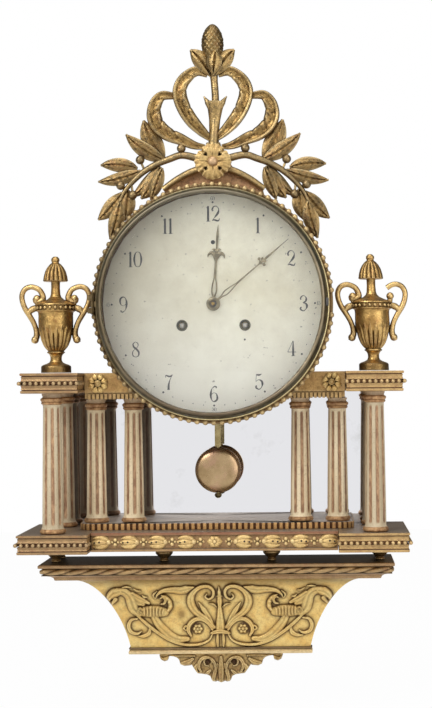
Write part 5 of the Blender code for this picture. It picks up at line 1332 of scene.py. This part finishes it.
panelSettings = {
    "top": 27.7, "foot": -58.3, "topHalf": 170.5, "footHalf": 107.8, "topY": -62.0, "footY": -22.0,
    "columns": 460, "rows": 170, "swell": 1.22, "rosette": (27.0, -35.7), "stain": (-46.0, -17.5),
    "rear": -10.3,
}
panelStrokes = [
    # one griffin and half of the plant between the two: points of a stroke (right of the middle, up),
    # its half widths, its height, and how many ribs cross it
    ([(0, 17.6), (-0.3, 13.5), (-0.2, 9.5), (-0.2, 5.8), (-0.2, 2.4), (0, -4.2), (0.3, -14.1),
     (0.6, -24.9), (1, -34.7)], [0.4, 2.2, 2.6, 2.9, 2, 2.6, 3.1, 3.9, 4.5], 3.6, 0),
    ([(-3.4, 5.4), (-0.2, 6), (2.9, 5.4)], [0.8, 1.3, 0.8], 4.2, 0),
    ([(-8.4, -40.6), (-3.9, -39.6), (1, -39), (6.4, -39.6), (11.3, -41.1)], [1, 2.6, 2.9, 2.6, 1
     ], 4.6, 0),
    ([(3.4, -42.6), (3.7, -49.5), (3.4, -57.1)], [1.4, 1.8, 1.2], 3, 0),
    ([(14.9, 8.1), (16.7, 4.6), (13, 1.5), (7.9, 4.6), (6.9, 12), (11.8, 17.2), (19.7, 17.6),
     (27.5, 13.5), (32.9, 6.6), (34.4, -1.3), (31.5, -10.1), (25.6, -17), (16.7, -23.4), (7.4, -33.7)],
     [0.9, 1.4, 1.7, 1.9, 2.2, 2.4, 2.8, 3.7, 4.3, 4.1, 3.5, 3.1, 2.9, 2.2], 3.8, 0),
    ([(7.4, -31.8), (13.8, -20.9), (19.7, -11.1), (25.1, -2.3)], [1, 2.6, 2.8, 0.6], 2.4, 0),
    ([(3.4, -8.7), (7.4, -5), (13, -3.8)], [0.7, 1.2, 0.4], 3, 0),
    ([(9.3, -36.7), (13.8, -29.3), (21.1, -23.9), (29.5, -23.9), (36.4, -29.8), (38.3, -37.2),
     (35.2, -44)], [1.4, 2, 2.4, 2.6, 2.6, 2.4, 1.4], 3.6, 0),
    ([(36.4, -33.2), (40.8, -32), (43.4, -34.7), (41.1, -37.1)], [1, 1.2, 1.2, 1], 3.2, 0),
    ([(9, -41.1), (13.8, -49.5), (23.6, -54.2), (36.4, -55.4), (49.1, -53.6), (61.9, -48.5),
     (73.7, -40.6), (83.6, -32.7), (91.4, -25.4), (97.8, -19)], [1, 1.4, 1.7, 1.8, 1.9, 2, 2.1, 2.2, 2,
     1.6], 3.4, 0),
    ([(39.8, -48), (50.1, -48.5), (60, -44), (68.8, -35.7), (74.7, -27.8), (78.1, -20.9)], [2.9, 4.1,
     4.7, 4.9, 4.5, 3.9], 3, 0),
    ([(65.9, -14.3), (73.7, -13.6), (82.6, -13.6), (91.4, -13.6)], [4.9, 6.3, 6.5, 5.5], 4.6, 7),
    ([(92.9, -15), (91.4, -11.6), (94.9, -9.1), (97.8, -12.6), (95.8, -16), (93.9, -14.3)], [1, 1.4,
     1.6, 1.6, 1.4, 0.8], 5, 0),
    ([(96.3, -15), (101.7, -10.1), (104.2, -2.3), (106.7, 5.6), (112.1, 11), (119.9, 12.5)], [4.9, 5.7,
     5.7, 4.9, 4.5, 3.9], 4, 0),
    ([(84, -3.1), (90.4, 0.2), (97.3, 4.1), (103.2, 8.5)], [1.6, 2.9, 3.3, 2.9], 3.2, 0),
    ([(85.5, 4.6), (89, 4.6), (91.4, 7.1)], [0.7, 1.3, 0.7], 2.6, 0),
    ([(92.4, 12.5), (96.8, 12.5), (101.2, 15.4)], [0.7, 1.3, 0.7], 2.6, 0),
    ([(104.2, 17.4), (109.1, 17.9), (114, 17.4)], [0.7, 1.4, 0.7], 2.6, 0),
    ([(118, 12), (124.8, 10), (129.8, 5.6), (131.7, 2.2)], [3.9, 5.1, 4.3, 2.4], 4.4, 0),
    ([(123.4, 2.2), (126.8, -2.3), (128.8, -6)], [2.6, 1.8, 0.4], 3.6, 0),
    ([(62.9, -14.1), (59, -8.2), (59.5, -1.3), (63.4, 4.6), (68.8, 7.1)], [1.6, 2.6, 2.6, 2, 0.8], 4, 5),
    ([(69.3, -4.2), (65.9, -3.3), (63.9, 0.7), (66.8, 4.6), (70.8, 2.6)], [1, 1.6, 1.8, 1.6, 0.8
     ], 4.4, 0),
    ([(75.7, 2.4), (72.9, 8.1), (65.9, 12.5), (55, 13.5), (43.3, 13), (29.5, 17.2)], [0.6, 2.2, 3.1,
     4.1, 4.5, 0.8], 3.4, 0),
    ([(76.2, 2.4), (78.1, 7.1), (73.7, 12)], [0.5, 1.4, 0.6], 3, 0),
    ([(98.8, -22.4), (105.7, -23.9), (109.3, -30.8), (106.7, -38.6), (99.3, -41.1), (93.9, -37.9)], [
     1.2, 1.8, 2.2, 2.2, 1.8, 0.8], 3.2, 0),
    ([(84, -34.7), (85.5, -40.6), (91.4, -44), (99.3, -44)], [1.4, 2.6, 2.2, 0.5], 2.4, 0),
    ([(91.4, -4.2), (98.3, -0.3), (104.2, 4.6)], [3, 6, 5], 3, 0),
]


def panelShare(z):
    # 0 at the foot and 1 at the top: a quarter circle, drawn in a little more towards the top
    rise = (z - panelSettings["foot"]) / (panelSettings["top"] - panelSettings["foot"])
    return 1 - np.sqrt(np.maximum(0.0, 1 - rise ** 2)) * (1 - 0.25 * rise)


def panelHalf(z):
    return panelSettings["footHalf"] + (panelSettings["topHalf"] - panelSettings["footHalf"]) * panelShare(z)


def panelFront(z):
    return panelSettings["footY"] + (panelSettings["topY"] - panelSettings["footY"]) * panelShare(z)


def strokeHeight(x, z, points, widths, height, ribs):
    # height of one carved stroke: a rounded bank across the stroke's path, with a shallow groove along its
    # middle
    # or ribs across it; the nearest of many samples along the path stands for the path
    path = curveThrough(points, 80)
    half = spread(widths, 80)
    best = np.zeros_like(x)
    near = (x > path[:, 0].min() - half.max()) & (x < path[:, 0].max() + half.max())
    near &= (z > path[:, 1].min() - half.max()) & (z < path[:, 1].max() + half.max())
    away = np.hypot(x[near][:, None] - path[None, :, 0], z[near][:, None] - path[None, :, 1]) / half[None]
    closest = away.argmin(1)
    d = away[np.arange(len(away)), closest]
    bank = np.clip(1 - d ** 2, 0, 1) ** 0.55
    groove = 0.16 * np.cos(2 * math.pi * ribs * closest / 79) if ribs else 0.26 * np.exp(-(d / 0.24) ** 2)
    best[near] = height * bank * (1 - groove)
    return best


def blurred(values, rounds):
    # each value eased towards its four neighbours, several times over
    for _ in range(rounds):
        edged = np.pad(values, 1, mode="edge")
        values = (edged[:-2, 1:-1] + edged[2:, 1:-1] + edged[1:-1, :-2] + edged[1:-1, 2:] + 2 * values) / 6
    return values


def cavity(relief, rounds=40):
    # painted shade and highlight for carved relief: dark below the mean height around a point, and pale,
    # below 0, above it
    below = blurred(relief, rounds) - relief
    return np.where(below > 0, np.clip(below * 0.75, 0, 0.85), np.clip(below * 0.28, -0.6, 0))


def panelCarving(x, z):
    # all strokes on both sides; the highest one wins at each point; a six-petalled flower lies in each
    # scroll
    total = np.zeros_like(x)
    for points, widths, height, ribs in panelStrokes:
        fuller = [width * panelSettings["swell"] for width in widths]
        total = np.maximum(total, strokeHeight(np.abs(x), z, points, fuller, height, ribs))
    cx, cz = panelSettings["rosette"]
    r = np.hypot(np.abs(x) - cx, z - cz)
    turn = np.arctan2(z - cz, np.abs(x) - cx)
    reach = 6.8 * (0.8 + 0.2 * np.abs(np.cos(turn * 3)))
    petals = np.clip(1 - (r / reach) ** 4, 0, 1) * (2.0 + 0.8 * np.abs(np.cos(turn * 3)))
    eye = np.clip(1 - (r / 2.0) ** 2, 0, 1) * 1.4 - 0.9 * np.exp(-((r - 2.6) / 0.7) ** 2)
    return np.maximum(total, petals + eye)


def bracketPanel():
    # the carving raises the hollow front; its hollows and flanks carry painted shade, its tops a painted
    # highlight, its upper edge a painted shadow under the shelf, and there is one old stain on the left
    rows, columns = panelSettings["rows"], panelSettings["columns"]
    z = np.linspace(panelSettings["foot"], panelSettings["top"], rows)[:, None]
    share = np.linspace(-1, 1, columns)[None]
    x = share * panelHalf(z)
    zz = np.broadcast_to(z, x.shape)
    carving = panelCarving(x, zz) * np.clip((1 - np.abs(share)) * 40, 0, 1)
    stainX, stainZ = panelSettings["stain"]
    stain = 0.6 * np.exp(-((x - stainX) / 5.0) ** 2 - ((zz - stainZ) / 6.5) ** 2)
    cx, cz = panelSettings["rosette"]
    # painted shade in the sunk ring round each rosette
    sunkShade = 0.4 * np.clip(8.6 - np.hypot(np.abs(x) - cx, zz - cz), 0, 1) * (carving < 1.0)
    shadow = 0.55 * np.clip((zz - 16.0) / 8.0, 0, 1) * (carving < 1.6)
    slope = np.hypot(np.gradient(carving, axis=0) / 0.55, np.gradient(carving, axis=1) / 0.74)
    # painted shade on the raised parts, most on their flanks
    wearAndShade = 0.18 * np.clip(carving / 1.2, 0, 1) + 0.32 * np.clip(slope / 1.4, 0, 1)
    tone = cavity(carving) + stain + sunkShade + shadow + wearAndShade
    face = places(x, panelFront(z) - carving, z)
    edge = places(x[:, [-1, 0]], panelSettings["rear"], z)
    shell = tinted(capped(np.concatenate([face, edge], 1)), np.pad(tone, ((1, 1), (0, 2))))
    return makePiece("bracket_panel_carved", [shell], "bracketGold", replaces=["bracket_panel"], sharp=60)


shelfSettings = {"half": 206.0, "front": -92.0, "ropeZ": 40.6, "ropeHalf": 204.0, "ropeY": -86.4,
                 "ropePitch": 41.0, "ropeRadius": 3.6}


def bracketShelf():
    # dark top board, a channel for the rope, and a cove down to the panel
    half, front = shelfSettings["half"], shelfSettings["front"]
    rows = [(28.0, 190.0, -65.0), (28.4, 191.0, -66.0), (31.2, 192.0, -67.0), (33.2, 194.5, -71.0),
            (34.8, 199.0, -77.5), (35.6, 202.6, -85.0),
            (36.2, 203.4, -86.4), (36.6, 200.5, -83.0), (44.6, 200.5, -83.0), (45.0, 204.8, -90.6),
            (45.6, half, front), (48.2, half, front),
            (49.0, half - 0.8, front + 0.8)]
    shell = rectangleStack([(-w, w, y, 0.0, z) for z, w, y in rows])
    return makePiece("shelf_moulded", [shell], "shelfGold", replaces=["bracket_shelf"])


def ropeStrip():
    # a rope along the front and both ends: its round section is swollen along two turning ridges
    half, y, z = shelfSettings["ropeHalf"] - 2.0, shelfSettings["ropeY"], shelfSettings["ropeZ"]
    plan = np.array([(-half, -2.0), (-half, y + 4), (-half + 1.2, y + 1.2), (-half + 4, y), (half - 4, y),
                     (half - 1.2, y + 1.2), (half, y + 4), (half, -2.0)])
    path, along = evenly(plan, 900)
    turn = np.linspace(0, 2 * math.pi, 18, endpoint=False)[None]
    twist = along[:, None] * 2 * math.pi / shelfSettings["ropePitch"]
    radius = shelfSettings["ropeRadius"] * (0.62 + 0.42 * np.abs(np.cos(turn - twist)) ** 0.9)
    flat = path[:, None, :] - leftOf(path)[:, None, :] * (radius * np.cos(turn))[..., None]
    table = places(flat[..., 0], flat[..., 1], z + radius * np.sin(turn))
    table[[0, -1]] = table[[0, -1]].mean(1, keepdims=True)
    # painted shade in the grooves between the strands
    groove = np.clip(1 - np.abs(np.cos(turn - twist)) / 0.45, 0, 0.9)
    return makePiece("shelf_rope", [tinted(grid(table, wrapColumns=True), groove)], "ropeGold")


def bracketRail():
    # a bead over a cove; its upper edge carries painted shade
    rows = [(-65.9, 108.5, -25.4), (-65.4, 109.6, -26.6), (-63.0, 110.0, -27.0), (-61.6, 109.4, -26.2),
            (-60.6, 108.6, -24.6), (-59.4, 109.6, -25.8), (-58.6, 109.4, -25.6)]
    shell = rectangleStack([(-w, w, y, -10.3, z) for z, w, y in rows])
    return makePiece("rail_moulded", [tinted(shell, np.clip((shell[0][:, 2] + 60.2) * 0.8, 0, 0.9))],
                     "railGold", replaces=["bracket_rail"])


pendantSettings = {"top": -66.5, "front": -15.4, "rear": -10.4, "columns": 420, "rows": 80,
                   "eye": (15.5, -9.9)}
pendantEdge = [
    # how far the carving hangs down at a distance from the middle
    (0, 35.5), (4.8, 33.6), (6.4, 34.6), (10.1, 34.1), (11.7, 32), (13.3, 27.9), (17.6, 25.8),
     (20.8, 25.4), (28.2, 24.5), (32, 19.4), (35.7, 13.9), (37.3, 14.9), (44.2, 15.5), (49, 13.3),
     (50.6, 8), (53.3, 5.3), (57.6, 3.7), (62.4, 3.2), (64, 8.5), (68.2, 9.8), (72.5, 7.5),
     (74.1, 2.7),
]
pendantStrokes = [
    # half of the palmette, as on the panel, measured down from its top
    ([(0, -4.3), (0, -16), (0, -33)], [2.1, 4.5, 3.2], 2.6, 0),
    ([(4.3, -12.8), (8, -24.5), (9.1, -32)], [1.5, 3, 2.3], 2.4, 0),
    ([(12.8, -20.3), (16, -22.9), (18.7, -24.7)], [1.7, 2.6, 1.3], 2.2, 0),
    ([(5.9, -21.3), (7.5, -11.7), (12.8, -5.9), (20.3, -4.8), (25.6, -9.6), (26.6, -16), (24, -21.3)], [
     1.5, 2.1, 2.3, 2.6, 2.8, 2.6, 1.5], 3.2, 0),
    ([(10.7, -11.2), (12.3, -5.9), (17.1, -4.8), (20.3, -8.5), (19.2, -13.3), (14.9, -14.9)], [1, 1.3,
     1.4, 1.4, 1.3, 0.9], 2.6, 0),
    ([(26.6, -11.7), (30.4, -17.1), (28.8, -22.9)], [2.1, 3.2, 1.7], 2.6, 0),
    ([(34.1, -6.4), (39.4, -10.1), (46.9, -11.7)], [2.3, 3.8, 2.6], 2.8, 0),
    ([(32, -2.7), (44.8, -2.3), (57.6, -2.7)], [1.7, 1.9, 1.3], 2.4, 0),
    ([(57.6, -2.7), (64, -5.3), (69.3, -6.4), (73.6, -3.2)], [1.5, 2.8, 2.6, 0.9], 2.6, 0),
]


def bracketPendant():
    # a palmette with two scroll eyes: a plate that follows a lobed lower edge, rounded towards it and carved
    rows, columns, top = pendantSettings["rows"], pendantSettings["columns"], pendantSettings["top"]
    edge = np.array(pendantEdge)
    x = np.linspace(-edge[-1, 0], edge[-1, 0], columns)[None]
    drop = np.interp(np.abs(x), edge[:, 0], edge[:, 1])
    z = -drop * np.linspace(0, 1, rows)[:, None]
    xx = np.broadcast_to(x, z.shape)
    carving = np.zeros_like(z)
    for points, widths, height, ribs in pendantStrokes:
        carving = np.maximum(carving, strokeHeight(np.abs(xx), z, points, widths, height, ribs))
    eyeX, eyeZ = pendantSettings["eye"]
    eye = np.exp(-(((np.abs(xx) - eyeX) / 2.6) ** 2 + ((z - eyeZ) / 3.2) ** 2) ** 2)
    carving = carving * (1 - eye)
    rim = np.clip((drop + z) / 2.2, 0, 1) ** 0.5 * np.clip((edge[-1, 0] - np.abs(xx)) / 2.0, 0, 1) ** 0.5
    front = pendantSettings["front"] - 3.6 * rim - carving * np.clip(rim * 1.5, 0.3, 1) + 2.4 * eye
    # painted shade and highlight on the relief, and painted shade in the scroll eyes
    tone = cavity(carving + 3.0 * rim, 24) + 0.9 * eye
    face, back = (places(xx, y, top + z) for y in (front, pendantSettings["rear"]))
    loop = np.concatenate([face, back[::-1]]).transpose(1, 0, 2)
    shell = tinted(capped(loop), np.pad(tone.T, ((1, 1), (0, rows))))
    return makePiece("pendant_carved", [shell], "pendantGold", replaces=["bracket_pendant"], sharp=60)


bracketPanel()
bracketShelf()
ropeStrip()
bracketRail()
bracketPendant()
print("bracket made")


# Pendulum bob, and finishes on the nodes that keep their own shape

bobSettings = {"z": 155.0, "y": -47.0, "radius": 27.0, "half": 6.4}


def pendulumBob():
    # a disc with a nearly flat face, a bevel round it and a narrow edge
    radius, half = bobSettings["radius"], bobSettings["half"]
    front = [(radius * s, -half - 0.9 + 2.6 * (s / 0.88) ** 4) for s in np.linspace(0, 0.88, 16)]
    front += [(radius * 0.91, -half + 2.6), (radius * 0.94, -half + 3.6), (radius * 0.965, -half + 4.4),
              (radius * 0.98, -1.6)]
    edge = [(radius * 0.99, -1.3), (radius, -0.6), (radius, 0.6), (radius * 0.99, 1.3)]
    rear = [(r, -y) for r, y in front[::-1]]
    bob = turnedForm(front + edge + rear, 96, 0, bobSettings["y"], bobSettings["z"], "y")
    return makePiece("pendulum_lens", [bob], "bobBrass", "pendulum", ["pendulum_bob"])


dressSettings = {
    "movementBrass": ["movement_front_plate", "movement_back_plate", "centre_wheel", "minute_wheel",
                      "hour_wheel",
                      "third_wheel", "escape_wheel", "going_barrel"],
    "movementSteel": ["cannon_pinion", "pallet_anchor"],
    "arborSteel": ["going_arbor", "strike_arbor"],
    "hingeBrass": ["bezel_hinge"],
    "backWood": ["bracket_backboard", "mirror_backboard"],
    "silveredDial": ["dial_plate"],
    "mirrorSilver": ["mirror_glass"],
    "rodBrass": ["pendulum_rod"],
    "nutBrass": ["rating_nut"],
}


pendulumBob()
for material, names in dressSettings.items():
    for name in names:
        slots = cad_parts[name].data.materials
        slots.clear()
        slots.append(bpy.data.materials[material])
print("nodes dressed")


# Camera, light and ground

cameraSettings = {"place": (0.1214, -1.892, 0.2625), "lens": 79.4, "shiftX": -0.147, "shiftY": 0.0342,
                  "roll": 0.45}
lightSettings = {
    "key": ((-1.3, -1.9, 1.7), 34.0, 1.3), "fill": ((1.5, -1.6, 0.7), 12.0, 1.4),
    "top": ((0.0, -0.5, 2.0), 12.0, 1.2),
    "worldSoft": 0.42, "floorZ": -0.135, "floorHalf": 2.2,
}


def addCamera():
    data = bpy.data.cameras.new("photoCamera")
    data.lens = cameraSettings["lens"]
    data.shift_x = cameraSettings["shiftX"]
    data.shift_y = cameraSettings["shiftY"]
    data.clip_start, data.clip_end = 0.05, 20
    camera = bpy.data.objects.new("photoCamera", data)
    camera.location = cameraSettings["place"]
    camera.rotation_euler = (math.pi / 2, math.radians(cameraSettings["roll"]), 0.0)
    scene.collection.objects.link(camera)
    scene.camera = camera


def addLamp(name, place, power, size):
    data = bpy.data.lights.new(name, "AREA")
    data.energy, data.size = power, size
    lamp = bpy.data.objects.new(name, data)
    lamp.location = place
    way = np.array([0.0, -0.08, 0.28]) - np.array(place)
    lamp.rotation_euler = (math.atan2(np.hypot(way[0], way[1]), -way[2]), 0.0,
                           math.atan2(way[1], way[0]) - math.pi / 2)
    scene.collection.objects.link(lamp)


def addWorld():
    # soft light all round; what metal shows is bright in front and greyer at the sides, and the camera
    # and glass see white
    world = bpy.data.worlds.new("studio")
    scene.world = world
    world.use_nodes = True
    tree = world.node_tree
    tree.nodes.clear()
    way = addNode(tree, "TexCoord").outputs["Generated"]
    depth = addNode(tree, "SeparateXYZ", [(0, way)]).outputs["Y"]
    feeds = [("Value", depth), ("From Min", -0.99), ("From Max", -0.2), ("To Min", 0.9), ("To Max", 0.16)]
    front = addNode(tree, "MapRange", feeds).outputs["Result"]
    soft, glossy, white = (
        addNode(tree, "Background", [("Strength", strength), ("Color", (1, 1, 1, 1))]).outputs[0]
        for strength in (lightSettings["worldSoft"], front, 1.0)
    )
    path = addNode(tree, "LightPath").outputs
    seen = [(0, path["Is Camera Ray"]), (1, path["Is Transmission Ray"])]
    seen = addNode(tree, "Math", seen, operation="MAXIMUM").outputs[0]
    light = addNode(tree, "MixShader", [(0, path["Is Glossy Ray"]), (1, soft), (2, glossy)]).outputs[0]
    light = addNode(tree, "MixShader", [(0, seen), (1, light), (2, white)]).outputs[0]
    addNode(tree, "OutputWorld", [("Surface", light)])


def addFloor():
    # pale ground below the bracket; the camera, metal and glass see it nearly white, and shadows stay on it
    size, z = lightSettings["floorHalf"], lightSettings["floorZ"]
    mesh = bpy.data.meshes.new("floor")
    mesh.from_pydata([(-size, -size, z), (size, -size, z), (size, size, z), (-size, size, z)], [],
                     [(0, 1, 2, 3)])
    made = Finish("paleFloor", 0.9, 0.0)
    made.set("Base Color", (0.86, 0.86, 0.86, 1))
    tree = made.tree
    path = addNode(tree, "LightPath").outputs
    seen = made.math("MAXIMUM", path["Is Camera Ray"], path["Is Transmission Ray"])
    seen = made.math("MAXIMUM", seen, path["Is Glossy Ray"])
    glow = addNode(tree, "Emission", [("Strength", 1.0)]).outputs[0]
    lit = tree.nodes["Principled BSDF"].outputs[0]
    blend = addNode(tree, "MixShader", [(0, made.math("MULTIPLY", seen, 0.97)), (1, lit), (2, glow)])
    feed(tree, tree.nodes["Material Output"].inputs["Surface"], blend.outputs[0])
    mesh.materials.append(bpy.data.materials["paleFloor"])
    floor = bpy.data.objects.new("floor", mesh)
    scene.collection.objects.link(floor)


addCamera()
for name in ("key", "fill", "top"):
    addLamp(name, *lightSettings[name])
addWorld()
addFloor()
scene.view_settings.view_transform = "Standard"

print("scene ready")
